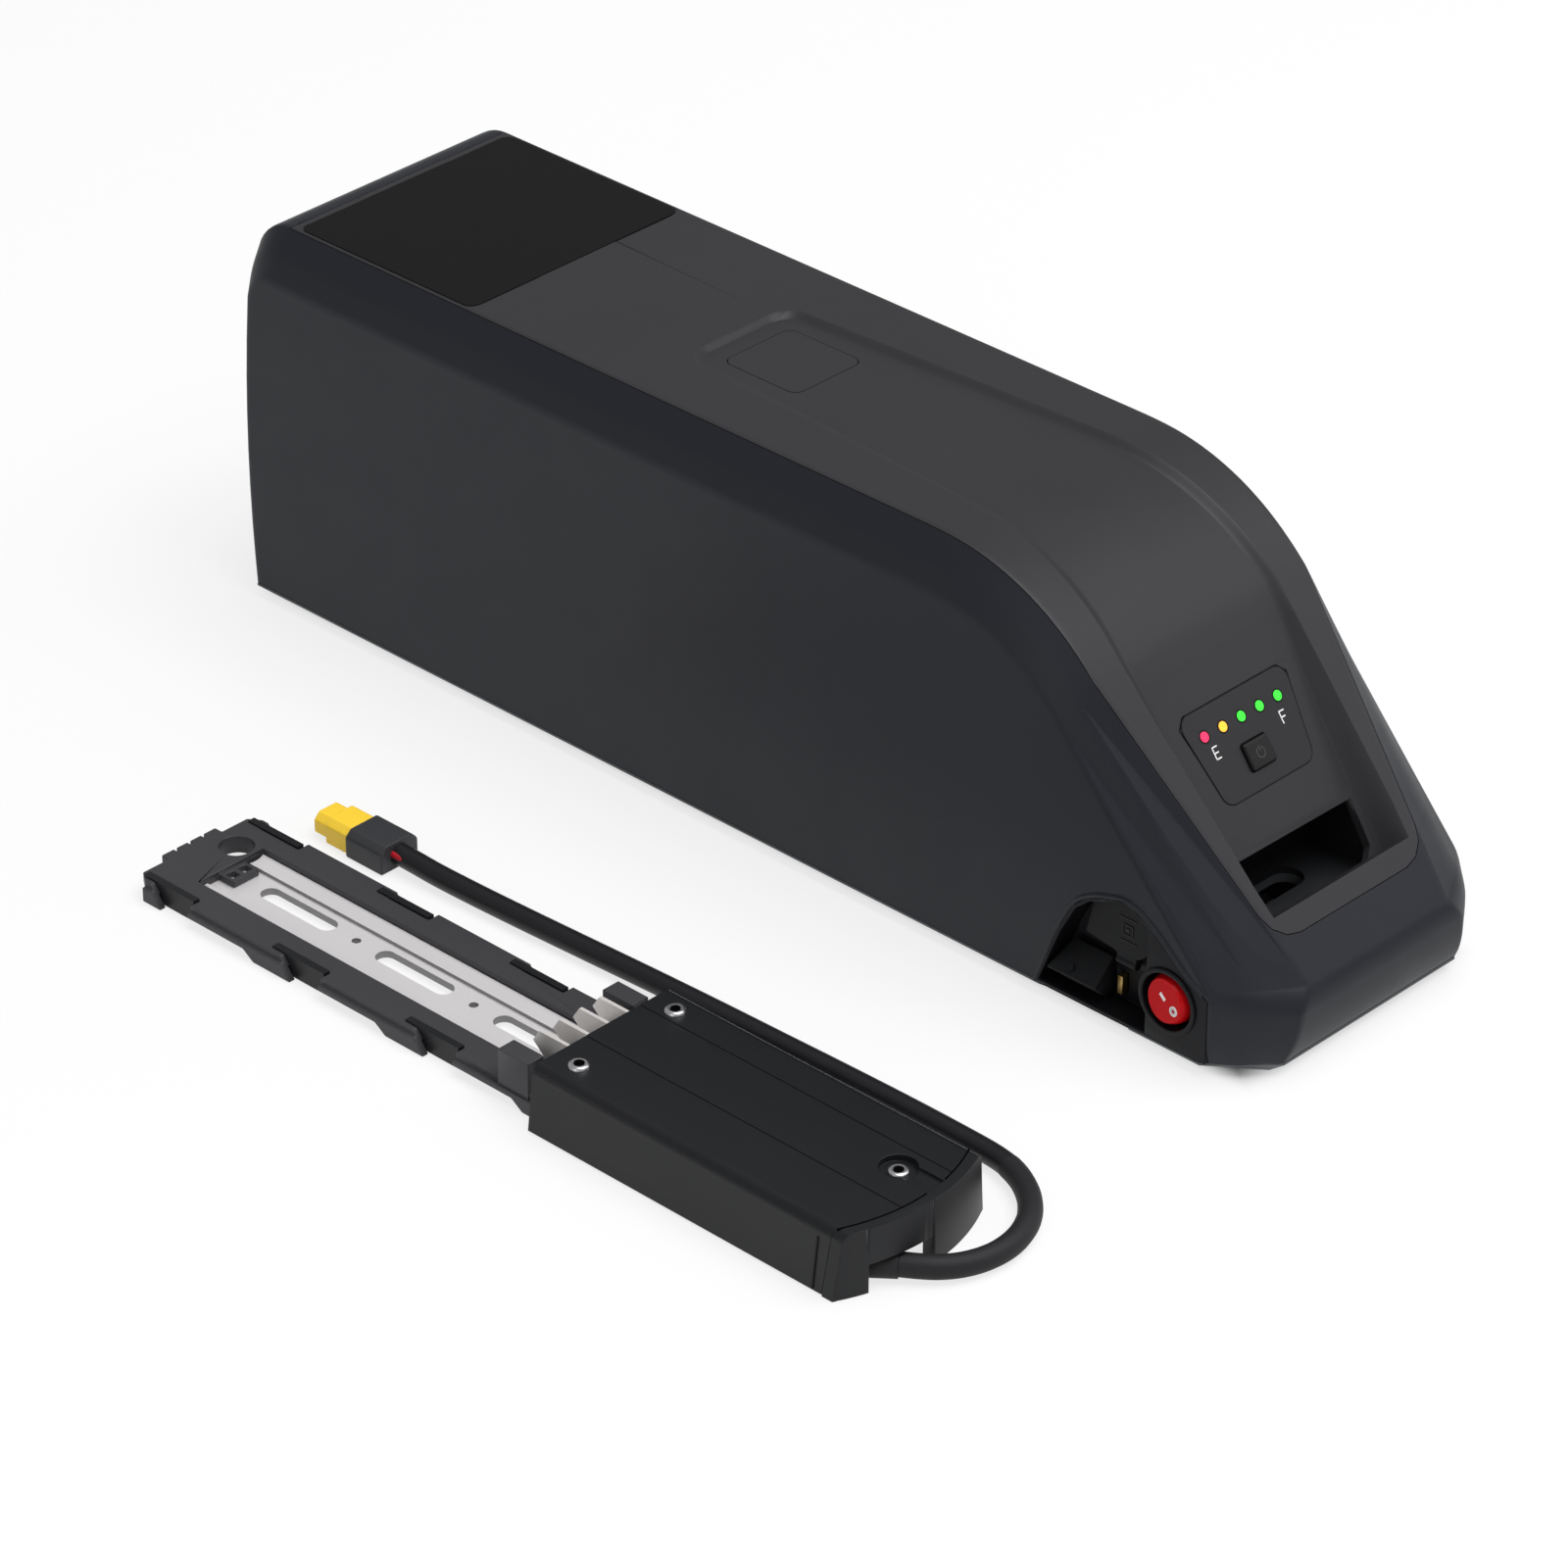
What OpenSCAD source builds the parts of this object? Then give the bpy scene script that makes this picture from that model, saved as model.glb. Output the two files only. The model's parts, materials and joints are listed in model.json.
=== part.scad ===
// Downtube battery pack with the mounting base that stands beside it.
// The origin is the middle of the set on the surface that it stands on.
// X runs from the label end to the nose, Y from the base to the pack, Z up.

/* [Battery pack] */
// Length from the label end to the nose
pack_len = 350; // [335:5:400]
// Width over the side faces
pack_w = 92; // [90:1:110]
// Height to the flat top
pack_h = 110; // [108:1:125]
// Wall of the side shell
shell_wall = 2.5; // [2:0.1:3]
// Slope of the nose below the flat top, in degrees
slope_angle = 47.8; // [45:0.1:50]
// Height at which the slope would meet the front of the nose
nose_tip_z = 21.3; // [20:0.1:24]
// Radius of the bend from the flat top to the slope
top_arc_r = 67; // [55:1:75]
// Radius of the top corner over the label end
end_corner_r = 13; // [10:1:16]
// Radius of the nose's front edge
nose_r = 9; // [7:1:10]
// Drop of the side crease below the flat top
bevel_drop = 13.5; // [10:0.5:16]
// Inset of the cover seam from the side face
bevel_in = 7.5; // [5:0.5:9]
// Height of the bottom cover's rim
strip_h = 4; // [3:0.5:5]

/* [Top cover and handle] */
// Thickness of the top cover on the flat
cover_t = 4.2; // [3.5:0.1:5]
// Depth of the long recess in the flat top
recess_depth = 1.5; // [1:0.1:2]
// Length of the frame's lip below the handle opening
frame_lip = 6; // [5:0.5:8]
// Width of the handle opening at its top
handle_w = 48; // [40:1:52]
// Thickness of the handle cup's wall
cup_wall = 1.8; // [1.5:0.1:2.5]
// Width of the drain slot in the floor of the handle cup
drain_w = 24; // [16:1:30]

/* [Gauge and switches] */
// Width of the gauge panel at its top edge
gauge_w = 39; // [34:1:42]
// Height of the gauge panel
gauge_h = 24; // [20:1:26]
// Spacing of the gauge lights
led_pitch = 6.7; // [5:0.1:7]
// Diameter of a gauge light
led_d = 2.6; // [2:0.1:3.2]
// Width of the square power button
button_w = 8.6; // [7:0.1:10]
// Travel of the power button
button_travel = 0.8; // [0.4:0.1:1]
// Diameter of the rocker switch's bezel
bezel_d = 17.5; // [15:0.5:19]
// Diameter of the rocker
rocker_d = 12.2; // [10:0.1:13]
// Diameter of the charging cap
cap_d = 15.4; // [14:0.1:16]

/* [Cells] */
// Diameter of a cell
cell_d = 18.2; // [18:0.1:18.6]
// Length of a cell
cell_len = 65; // [64:0.5:70]
// Spacing of the cells
cell_pitch = 18.8; // [18.7:0.1:19.4]

/* [Mounting base] */
// Length of the base over its end cap
base_len = 249; // [240:1:280]
// Width of the rail over its feet
rail_w = 41.4; // [40:0.2:44]
// Height of the rail's upper face
rail_h = 5.5; // [5:0.1:7]
// Length of the controller box
box_len = 104; // [95:1:115]
// Width of the controller box at its foot
box_w = 51; // [48:0.5:54]
// Height of the controller box
box_h = 17.7; // [15:0.1:20]
// Thickness of the controller box's sheet
sheet_t = 1.5; // [1:0.1:2]
// Spacing of the slots in the aluminium plate
slot_pitch = 40.8; // [36:0.1:44]
// Length of a slot from end to end
slot_len = 25.4; // [20:0.1:28]
// Width of a slot
slot_w = 5.3; // [4.5:0.1:6.5]
// Diameter of the lock's hole in the rail
lock_hole_d = 9; // [8:0.1:10]
// Diameter of the sleeved cable
cable_d = 6; // [5:0.5:7]

/* [Places] */
// Clear distance between the controller box and the pack
set_gap = 75.2; // [60:0.1:90]
// Distance of the base's left end from the pack's label end
base_shift = 89; // [60:1:100]

/* [Hidden] */
$fn = 48;
over = 1;
fit = 0.2;
slip = 0.08;
set_depth = box_w + set_gap + pack_w;
pack_x = -pack_len / 2;
pack_y = set_depth / 2 - pack_w / 2;
base_x = pack_x + base_shift;
base_y = box_w / 2 - set_depth / 2;

// Outer body of the pack: label end, flat top, slope and nose in the XZ plane
end_bulge = 2;
side_end_in = 3;
side_corner_r = 10;
side_nose_in = 14;
side_nose_r = 10;
slope_bevel = 9.5;
// Rows over the bevel on each side: which side, share outwards, share downwards
bevel_row_shares = [[-1, 1, 1], [-1, 0.56, 0.44], [-1, 0, 0], [1, 0, 0], [1, 0.56, 0.44], [1, 1, 1]];
seam_nose_half = 26;
nose_front_half = 30;
nose_foot_half = 34;
foot_in = 4.5;
wall_shares = [0, 0.3, 0.6, 0.85];
corner_steps = 5;
arc_steps = 8;
nose_steps = 4;
under_steps = 5;
slope_n = 90 - slope_angle;
seam_top_half = pack_w / 2 - bevel_in;
side_z = pack_h - bevel_drop;
arc_z = pack_h - top_arc_r;
arc_x = pack_len - (top_arc_r + sin(slope_n) * (arc_z - nose_tip_z)) / cos(slope_n);
nose_cx = pack_len - nose_r;
nose_cz = nose_tip_z - nose_r * tan(slope_n / 2);
side_nose_cx = pack_len - side_nose_in - side_nose_r;
side_nose_cz = nose_tip_z
    + (cos(slope_n) * (side_nose_in + side_nose_r) - slope_bevel - side_nose_r) / sin(slope_n);
// Distances up the slope from the corner where it would meet the nose's front
slope_top = (arc_z + top_arc_r * sin(slope_n) - nose_tip_z) / cos(slope_n);
slope_foot = nose_r * tan(slope_n / 2);

function turns(a, b, n) = [for (k = [0 : n]) a + (b - a) * k / n];
function mix(a, b, share) = a + (b - a) * share;
function end_x(share) = end_bulge * pow(2 * share - 1, 2);
function on_arc(cx, cz, rx, rz, a) = [cx + rx * cos(a), cz + rz * sin(a)];
function slope_pt(s) = [pack_len - s * sin(slope_n), nose_tip_z + s * cos(slope_n)];

// Outline over the middle of the pack, moved inwards by inset
function strip_path(inset) = concat(
    [for (s = wall_shares) [inset + end_x(s), s * (pack_h - end_corner_r)]],
    [for (a = turns(180, 90, corner_steps))
        let (r = end_corner_r - inset)
        on_arc(end_bulge + end_corner_r, pack_h - end_corner_r, r, r, a)],
    [for (a = turns(90, slope_n, arc_steps)) on_arc(arc_x, arc_z, top_arc_r - inset, top_arc_r - inset, a)],
    [for (a = turns(slope_n, 0, nose_steps)) on_arc(nose_cx, nose_cz, nose_r - inset, nose_r - inset, a)],
    [for (k = [1 : under_steps]) on_arc(nose_cx, nose_cz, nose_r - inset, nose_cz, -90 * k / under_steps)]);

// Outline of the side face, moved inwards by inset
function side_path(inset) = concat(
    [for (s = wall_shares) [side_end_in + inset + end_x(s), s * (side_z - side_corner_r)]],
    [for (a = turns(180, 90, corner_steps))
        on_arc(side_end_in + end_bulge + side_corner_r, side_z - side_corner_r,
            side_corner_r - inset, side_corner_r - inset, a)],
    [for (k = [0 : arc_steps])
        let (r = top_arc_r - inset - mix(bevel_drop, slope_bevel, k / arc_steps))
        on_arc(arc_x, arc_z, r, r, mix(90, slope_n, k / arc_steps))],
    [for (a = turns(slope_n, 0, nose_steps))
        on_arc(side_nose_cx, side_nose_cz, side_nose_r - inset, side_nose_r - inset, a)],
    [for (k = [1 : under_steps])
        on_arc(side_nose_cx, side_nose_cz, side_nose_r - inset, side_nose_cz, -90 * k / under_steps)]);

// Half width of the middle strip at each point of the outline
strip_halves = concat(
    [for (s = wall_shares) seam_top_half],
    [for (k = [0 : corner_steps]) seam_top_half],
    [for (k = [0 : arc_steps]) seam_top_half],
    [for (k = [0 : nose_steps]) mix(seam_nose_half, nose_front_half, k / nose_steps)],
    [for (k = [1 : under_steps]) mix(nose_front_half, nose_foot_half, k / under_steps)]);

// Solid between the two side faces. drop lowers its two bottom edges, so that it can cut through
module body_solid(inset, drop = 0) {
    strip = strip_path(inset);
    side = side_path(inset);
    n = len(strip);
    side_y = pack_w / 2 - inset;
    rows = [for (row = bevel_row_shares)
        [for (i = [0 : n - 1])
            [mix(strip[i][0], side[i][0], row[2]),
             row[0] * mix(strip_halves[i] - inset / 2, side_y, row[1]),
             mix(strip[i][1], side[i][1], row[2]) - (i == 0 || i == n - 1 ? drop : 0)]]];
    last_row = len(rows) - 1;
    polyhedron(
        points = [for (row = rows) each row],
        faces = concat(
            [for (k = [0 : last_row - 1], i = [0 : n - 2]) each [
                [k * n + i, (k + 1) * n + i, (k + 1) * n + i + 1],
                [k * n + i, (k + 1) * n + i + 1, k * n + i + 1]]],
            [[for (i = [0 : n - 1]) i]],
            [[for (i = [n - 1 : -1 : 0]) last_row * n + i]],
            [concat([for (k = [0 : last_row]) k * n + n - 1], [for (k = [last_row : -1 : 0]) k * n])]));
}

// Solid through rings of equal count, each ordered near top, far top, far bottom, near bottom
module through_rings(rings) {
    m = len(rings[0]);
    last = len(rings) - 1;
    polyhedron(
        points = [for (ring = rings) each ring],
        faces = concat(
            [for (i = [0 : last - 1], j = [0 : m - 1]) each [
                [i * m + j, i * m + (j + 1) % m, (i + 1) * m + (j + 1) % m],
                [i * m + j, (i + 1) * m + (j + 1) % m, (i + 1) * m + j]]],
            [[for (j = [m - 1 : -1 : 0]) j]],
            [[for (j = [0 : m - 1]) last * m + j]]));
}

// Ring across the outline at a point with its outward angle
function ring_at(p, a, half, low_half, out, depth) = [
    [p[0] + out * cos(a), -half, p[1] + out * sin(a)],
    [p[0] + out * cos(a), half, p[1] + out * sin(a)],
    [p[0] - depth * cos(a), low_half, p[1] - depth * sin(a)],
    [p[0] - depth * cos(a), -low_half, p[1] - depth * sin(a)]];

module on_pack() { translate([pack_x, pack_y, 0]) children(); }
module on_base() { translate([base_x, base_y, 0]) children(); }
// Places children on the slope, s up from the nose corner: X runs down the slope, Z outwards
module on_slope(s) {
    translate([pack_len, 0, nose_tip_z]) rotate([0, slope_angle, 0]) translate([-s, 0, 0]) children();
}
module box(low, high) { translate(low) cube(high - low); }
module round_slot(length, width, height) {
    straight = length - width;
    for (side = [-1, 1]) translate([side * straight / 2, 0, 0]) cylinder(d = width, h = height);
    translate([-straight / 2, -width / 2, 0]) cube([straight, width, height]);
}
// Cylinder that starts at a point and runs along X, or along Y
module rod_x(p, d, length) { translate(p) rotate([0, 90, 0]) cylinder(d = d, h = length); }
module rod_y(p, d, length) { translate(p) rotate([-90, 0, 0]) cylinder(d = d, h = length); }

// Top cover: a strip from the label end's corner down to the frame under the handle opening
floor_tilt = 5.8;
frame_foot = 15;
frame_r = 8;
recess_start = 137;
recess_ramp = 5;
recess_start_half = 17.5;
recess_end_half = 14;
recess_top_half = 27;
opening_len = 15;
opening_chamfer = 2.5;
opening_draft = 0.8;
cover_start_x = end_bulge + end_corner_r;
opening_foot = frame_foot + frame_lip;
opening_top = opening_foot + opening_len;
opening_half = handle_w / 2;
recess_low_half = opening_half;

function seam_at(s) = mix(seam_nose_half, seam_top_half, (s - slope_foot) / (slope_top - slope_foot));
function recess_at(s) = recess_depth + (slope_top - s) * tan(floor_tilt);
function under_at(s) = recess_at(s) + cover_t - recess_depth;
function recess_half_at(s) =
    mix(recess_low_half, recess_top_half, (s - opening_foot) / (slope_top - opening_foot));

// Rings of the cover. As a cutter it has other arc angles than the shell, so that no edges meet in a point
kink_turn = 1.3;
kink_step = 1;
function cover_rings(gap, out, low) = concat(
    let (half = seam_top_half + gap, depth = low < 0 ? cover_t : low)
    let (turn = low < 0 ? 0 : kink_turn, steps = low < 0 ? arc_steps : arc_steps - 1)
    concat(
        [ring_at([cover_start_x - gap, pack_h], 90, half, half, out, depth)],
        [for (a = turns(90 - turn, slope_n + turn, steps))
            ring_at(on_arc(arc_x, arc_z, top_arc_r, top_arc_r, a), a, half, half, out, depth)]),
    low < 0 ? [] : [let (s = slope_top - kink_step, half = seam_at(s) + gap)
        ring_at(slope_pt(s), slope_n, half, half, out, low)],
    [for (a = [0, 30, 60, 90])
        let (s = frame_foot + frame_r * (1 - sin(a)) - gap)
        let (half = seam_at(s) - frame_r * (1 - cos(a)) + gap)
        ring_at(slope_pt(s), slope_n, half, half, out, low < 0 ? under_at(s) : low)]);

module recess_cutter() {
    flat_share = (arc_x - recess_start) / (arc_x + top_arc_r - recess_start);
    arc_half = mix(recess_start_half, recess_top_half, flat_share);
    through_rings(concat(
        [ring_at([recess_start, pack_h], 90, recess_end_half, recess_end_half, over, 0)],
        [ring_at([recess_start + recess_ramp, pack_h], 90,
            recess_start_half, recess_start_half - recess_depth, over, recess_depth)],
        [for (k = [0 : arc_steps])
            let (a = mix(90, slope_n, k / arc_steps))
            let (half = mix(arc_half, recess_top_half, k / arc_steps))
            let (p = on_arc(arc_x, arc_z, top_arc_r, top_arc_r, a))
            ring_at(p, a, half, half - recess_depth, over, recess_depth)],
        [for (s = [opening_top, opening_foot])
            let (half = recess_half_at(s))
            ring_at(slope_pt(s), slope_n, half, half - 2 * recess_depth, over, recess_at(s))]));
}

// Rounded end of the handle opening, as a plate outline on the slope: X down, Y across
module opening_outline(grow) {
    half = opening_half - 2 * recess_depth + grow;
    low = half - opening_draft;
    polygon([[-opening_len, -half], [-opening_len, half], [grow - opening_chamfer, low],
        [grow, low - opening_chamfer], [grow, opening_chamfer - low], [grow - opening_chamfer, -low]]);
}

// Gauge panel on the tilted floor of the recess
gauge_s = 60.4;
gauge_t = 1.2;
gauge_low_share = 0.8;
gauge_corner = 2.5;
led_s = 5.6;
button_s = -4;
button_len = 7;
button_proud = 1.2;
board_t = 1.2;
board_margin = 2;
switch_h = 0.9;
module on_floor() {
    on_slope(gauge_s) translate([0, 0, -recess_at(gauge_s)]) rotate([0, floor_tilt, 0]) children();
}
module gauge_outline(grow) {
    top = gauge_w / 2 + grow;
    low = gauge_w / 2 * gauge_low_share + grow;
    end = gauge_h / 2 + grow;
    c = gauge_corner;
    polygon([[-end, c - top], [-end, top - c], [c - end, top], [end - c, low], [end, low - c],
        [end, c - low], [end - c, -low], [c - end, -top]]);
}
module button_hole(grow, low, high) {
    translate([-button_s, 0, 0])
        box([-button_len / 2 - grow, -button_w / 2 - grow, low],
            [button_len / 2 + grow, button_w / 2 + grow, high]);
}
led_count = 5;
function led_y(k) = (k - (led_count - 1) / 2) * led_pitch;
module led(k, d, low, high) { translate([-led_s, led_y(k), low]) cylinder(d = d, h = high - low, $fn = 24); }

// Label and badge on the flat top
label_x = 17;
label_len = 63;
label_in = 1;
label_t = 0.3;
badge_x = 143;
badge_len = 25;
badge_w = 24;
badge_t = 1;
plate_r = 3;
module rounded_plate(length, width, thick, r) {
    translate([r, -width / 2 + r, 0]) {
        translate([-r, 0, 0]) cube([length, width - 2 * r, thick]);
        translate([0, -r, 0]) cube([length - 2 * r, width, thick]);
        for (x = [0, length - 2 * r], y = [0, width - 2 * r]) translate([x, y, 0]) cylinder(r = r, h = thick);
    }
}

module top_cover() {
    color("#3b3a3e") on_pack() difference() {
        through_rings(cover_rings(0, 0, -1));
        recess_cutter();
        translate([label_x - fit, 0, pack_h - label_t])
            rounded_plate(label_len + 2 * fit, 2 * (seam_top_half - label_in + fit), over, plate_r);
        translate([badge_x - fit, 0, pack_h - recess_depth - badge_t])
            rounded_plate(badge_len + 2 * fit, badge_w + 2 * fit, recess_depth + over, plate_r);
        on_slope(opening_foot) translate([0, 0, -2 * under_at(opening_foot)])
            linear_extrude(3 * under_at(opening_foot)) opening_outline(0);
        on_floor() {
            translate([0, 0, -gauge_t]) linear_extrude(gauge_t + over) gauge_outline(fit);
            box([-led_s - led_d, led_y(0) - led_d, -cover_t - over],
                [led_d - led_s, led_y(led_count - 1) + led_d, 0]);
            button_hole(board_margin, -cover_t - over, 0);
        }
    }
}
module label_plate() {
    color("#1c1c1c") on_pack() translate([label_x, 0, pack_h - label_t])
        rounded_plate(label_len, 2 * (seam_top_half - label_in), label_t, plate_r);
}
module badge_plate() {
    color("#3f3e42") on_pack() translate([badge_x, 0, pack_h - recess_depth - badge_t])
        rounded_plate(badge_len, badge_w, badge_t, plate_r);
}
module gauge_panel() {
    color("#333238") on_pack() on_floor() difference() {
        translate([0, 0, -gauge_t]) linear_extrude(gauge_t) gauge_outline(0);
        for (k = [0 : led_count - 1]) led(k, led_d + 2 * slip, -2 * gauge_t, over);
        button_hole(fit, -2 * gauge_t, over);
    }
}
lens_proud = 0.2;
board_top = recess_depth - cover_t - fit;
button_low = board_top + switch_h + button_travel + slip;
module gauge_lens_low() {
    color("#e1325a") on_pack() on_floor() led(0, led_d, board_top + fit, lens_proud);
}
module gauge_lens_half() {
    color("#fabe3c") on_pack() on_floor() led(1, led_d, board_top + fit, lens_proud);
}
module gauge_lenses_full() {
    color("#32e132") on_pack() on_floor()
        for (k = [2 : led_count - 1]) led(k, led_d, board_top + fit, lens_proud);
}
module power_button() {
    color("#232327") on_pack() on_floor() button_hole(0, button_low, button_proud);
}
module gauge_board() {
    color("#1e5a32") on_pack() on_floor() {
        box([-gauge_h / 2 + board_margin, -gauge_w / 2 * gauge_low_share, board_top - board_t],
            [gauge_h / 2 - board_margin, gauge_w / 2 * gauge_low_share, board_top]);
        translate([-button_s, 0, board_top - board_t]) cylinder(d = button_len / 2, h = board_t + switch_h);
    }
}

// Bottom cover with the channel that takes the mounting base
dock_x = 72;
dock_travel = 12;
dock_gap = 1.3;
// Reach of the base's clamps in front of its box
clamp_in = 15;
channel_wall = 2.5;
rail_slot_h = 7;
box_slot_h = 19;
rim_edge = 0.6;
strip_plate = 2;
socket_end = dock_x + base_len - box_len - dock_gap;
socket_len = 22;
socket_x = socket_end - socket_len;
box_slot_x = socket_end - clamp_in;
box_slot_end = dock_x + base_len + dock_travel + dock_gap;
rail_slot_x = dock_x - dock_travel - dock_gap;
rail_slot_half = rail_w / 2 + dock_gap;
box_slot_half = box_w / 2 + dock_gap;
channel_top = box_slot_h + channel_wall;
notch_h = 2.6;
notch_in = 3.5;
notch_x_shares = [0.017, 0.288, 0.616];
notch_len = 8;
drain_in = 37.1;
drain_x = pack_len - drain_in;
drain_len = 9;
function ellipse_x(cx, r, cz, z) = cx + r * sqrt(1 - pow((cz - z) / cz, 2));
rim_nose_half = mix(nose_front_half, nose_foot_half, 0.5);
module rim_outline(inset) {
    y = pack_w / 2 - inset;
    side_end = ellipse_x(side_nose_cx, side_nose_r, side_nose_cz, strip_h) - inset;
    nose_end = ellipse_x(nose_cx, nose_r, nose_cz, strip_h) - inset;
    polygon([[side_end_in + end_bulge + inset, -y], [end_bulge + inset, -seam_top_half],
        [end_bulge + inset, seam_top_half], [side_end_in + end_bulge + inset, y], [side_end, y],
        [nose_end, rim_nose_half], [nose_end, -rim_nose_half], [side_end, -y]]);
}
module bottom_cover() {
    lid_y = pack_w / 2 - foot_in - channel_wall;
    color("#3c3d40") on_pack() difference() {
        union() {
            difference() {
                hull() {
                    linear_extrude(rim_edge) rim_outline(foot_in);
                    translate([0, 0, strip_h - rim_edge]) linear_extrude(rim_edge) rim_outline(0);
                }
                box([end_corner_r, -lid_y, strip_plate], [side_nose_cx, lid_y, strip_h + over]);
            }
            box([rail_slot_x - channel_wall, -rail_slot_half - channel_wall, strip_plate / 2],
                [box_slot_x, rail_slot_half + channel_wall, rail_slot_h + channel_wall]);
            box([box_slot_x - channel_wall, -box_slot_half - channel_wall, strip_plate / 2],
                [box_slot_end + channel_wall, box_slot_half + channel_wall, channel_top]);
            for (x = bms_post_x, side = [-1, 1]) translate([x, side * bms_post_y, strip_plate / 2])
                cylinder(d = bms_post_d, h = bms_z - strip_plate / 2);
            for (x = boss_x, side = [-1, 1]) translate([x, side * boss_y, strip_plate / 2])
                cylinder(d = 2 * boss_half, h = strip_h - strip_plate / 2);
        }
        box([rail_slot_x, -rail_slot_half, -over], [box_slot_x + over, rail_slot_half, rail_slot_h]);
        box([box_slot_x, -box_slot_half, -over], [box_slot_end, box_slot_half, box_slot_h]);
        box([socket_x - fit, -socket_w / 2 - fit, rail_slot_h - over],
            [socket_end + fit, socket_w / 2 + fit, channel_top + over]);
        translate([drain_x, 0, box_slot_h - over]) rotate(90)
            round_slot(drain_w, drain_len, channel_wall + 2 * over);
        translate([lock_x, lock_y, rail_slot_h - over])
            cylinder(d = bolt_d + 2 * fit, h = channel_wall + 2 * over);
        for (share = notch_x_shares, side = [-1, 1])
            translate([pack_len * share, side * pack_w / 2 - notch_in, -over])
                cube([notch_len, 2 * notch_in, notch_h + over]);
        for (x = boss_x, side = [-1, 1]) translate([x, side * boss_y, -over]) {
            cylinder(d = screw_head_d + 2 * fit, h = screw_sink + screw_head_h + over);
            cylinder(d = screw_d + 2 * fit, h = strip_h + 2 * over);
        }
        box([port_x + port_rim, face_y - over, pocket_floor_z],
            [port_x + pocket_end, face_y + foot_in, strip_h + over]);
    }
}

// Lock over the rail's hole: a key barrel in the far side face turns a crank pin that lifts the bolt
lock_in = 10;
lock_off = 7;
bolt_d = 8;
bolt_travel = 6;
bolt_tip_z = 1.5;
bolt_cap = 1.5;
lock_d = 11;
lock_h = 12;
lock_wall = 4;
lock_gap = 0.5;
crank_turn = 90;
crank_d = 2;
crank_gap = 0.25;
key_w = 1.2;
key_len = 6;
key_depth = 4;
lock_x = dock_x + lock_in;
lock_y = lock_off;
lock_base = rail_slot_h + channel_wall;
lock_z = lock_base + lock_h / 2;
// The pin swings by the same angle below and above the level, so that its rise is the bolt's travel
crank_r = bolt_travel / 2 / sin(crank_turn / 2);
crank_z = lock_z - bolt_travel / 2;
barrel_x = lock_x - crank_r * (1 + cos(crank_turn / 2)) / 2;
crank_x = barrel_x + crank_r * cos(crank_turn / 2);
barrel_start = lock_y + bolt_d / 2 + lock_gap;
module lock_housing() {
    color("#2e2f33") on_pack() difference() {
        box([barrel_x - lock_d / 2 - lock_wall, lock_y - bolt_d / 2 - lock_wall, lock_base],
            [lock_x + bolt_d / 2 + lock_wall, pack_w / 2 - shell_wall - fit, lock_base + lock_h]);
        translate([lock_x, lock_y, -over]) cylinder(d = bolt_d + 2 * slip, h = lock_base + lock_h + 2 * over);
        rod_y([barrel_x, lock_y, lock_z], lock_d + 2 * slip, pack_w);
    }
}
module lock_bolt() {
    color("#b9bbbf") on_pack() difference() {
        translate([lock_x, lock_y, bolt_tip_z])
            cylinder(d = bolt_d, h = crank_z + crank_d / 2 + crank_gap + bolt_cap - bolt_tip_z);
        box([lock_x - bolt_d, lock_y, crank_z - crank_d / 2 - crank_gap],
            [lock_x + bolt_d, lock_y + bolt_d, crank_z + crank_d / 2 + crank_gap]);
    }
}
module lock_barrel() {
    color("#8f9196") on_pack() difference() {
        union() {
            rod_y([barrel_x, barrel_start, lock_z], lock_d, pack_w / 2 - fit - barrel_start);
            rod_y([crank_x, lock_y + fit, crank_z], crank_d, barrel_start - lock_y);
        }
        box([barrel_x - key_w / 2, pack_w / 2 - key_depth, lock_z - key_len / 2],
            [barrel_x + key_w / 2, pack_w / 2 + over, lock_z + key_len / 2]);
    }
}

// Cells between two holders, in as many rows and columns as the case has room for
cell_x = 15;
cell_base = channel_top + fit;
cell_top_gap = 2;
holder_t = 8;
holder_edge = 0.6;
cell_rows = floor((pack_h - cover_t - cell_top_gap - cell_base) / cell_pitch);
cell_top = cell_base + cell_rows * cell_pitch;
// The last column ends where the arc's wall comes down to the top row
cell_end_x = arc_x + sqrt(pow(top_arc_r - cover_t - cell_top_gap, 2) - pow(cell_top - arc_z, 2));
cell_cols = floor((cell_end_x - holder_edge - cell_x + cell_pitch / 2) / cell_pitch);
cell_banks = 4;
strip_t = 0.2;
strip_w = 7;
function cell_cx(c) = cell_x + c * cell_pitch;
function cell_cz(r) = cell_base + cell_pitch / 2 + r * cell_pitch;
// Whole columns of cells, shared out among the banks
module cell_bank(k) {
    color(k % 2 == 0 ? "#2f6f9e" : "#37799f") on_pack()
        for (c = [floor(k * cell_cols / cell_banks) : floor((k + 1) * cell_cols / cell_banks) - 1],
             r = [0 : cell_rows - 1])
            rod_y([cell_cx(c), -cell_len / 2, cell_cz(r)], cell_d, cell_len);
}
module cell_bank_1() { cell_bank(0); }
module cell_bank_2() { cell_bank(1); }
module cell_bank_3() { cell_bank(2); }
module cell_bank_4() { cell_bank(3); }
module cell_holder(side) {
    low_y = side > 0 ? cell_len / 2 - holder_t : -cell_len / 2;
    color("#d8d8d2") on_pack() difference() {
        box([cell_cx(0) - cell_pitch / 2 - holder_edge, low_y, cell_base],
            [cell_cx(cell_cols - 1) + cell_pitch / 2 + holder_edge, low_y + holder_t, cell_top]);
        for (c = [0 : cell_cols - 1], r = [0 : cell_rows - 1])
            rod_y([cell_cx(c), low_y - over, cell_cz(r)], cell_d + 2 * slip, holder_t + 2 * over);
    }
}
module cell_holder_near() { cell_holder(-1); }
module cell_holder_far() { cell_holder(1); }
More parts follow.
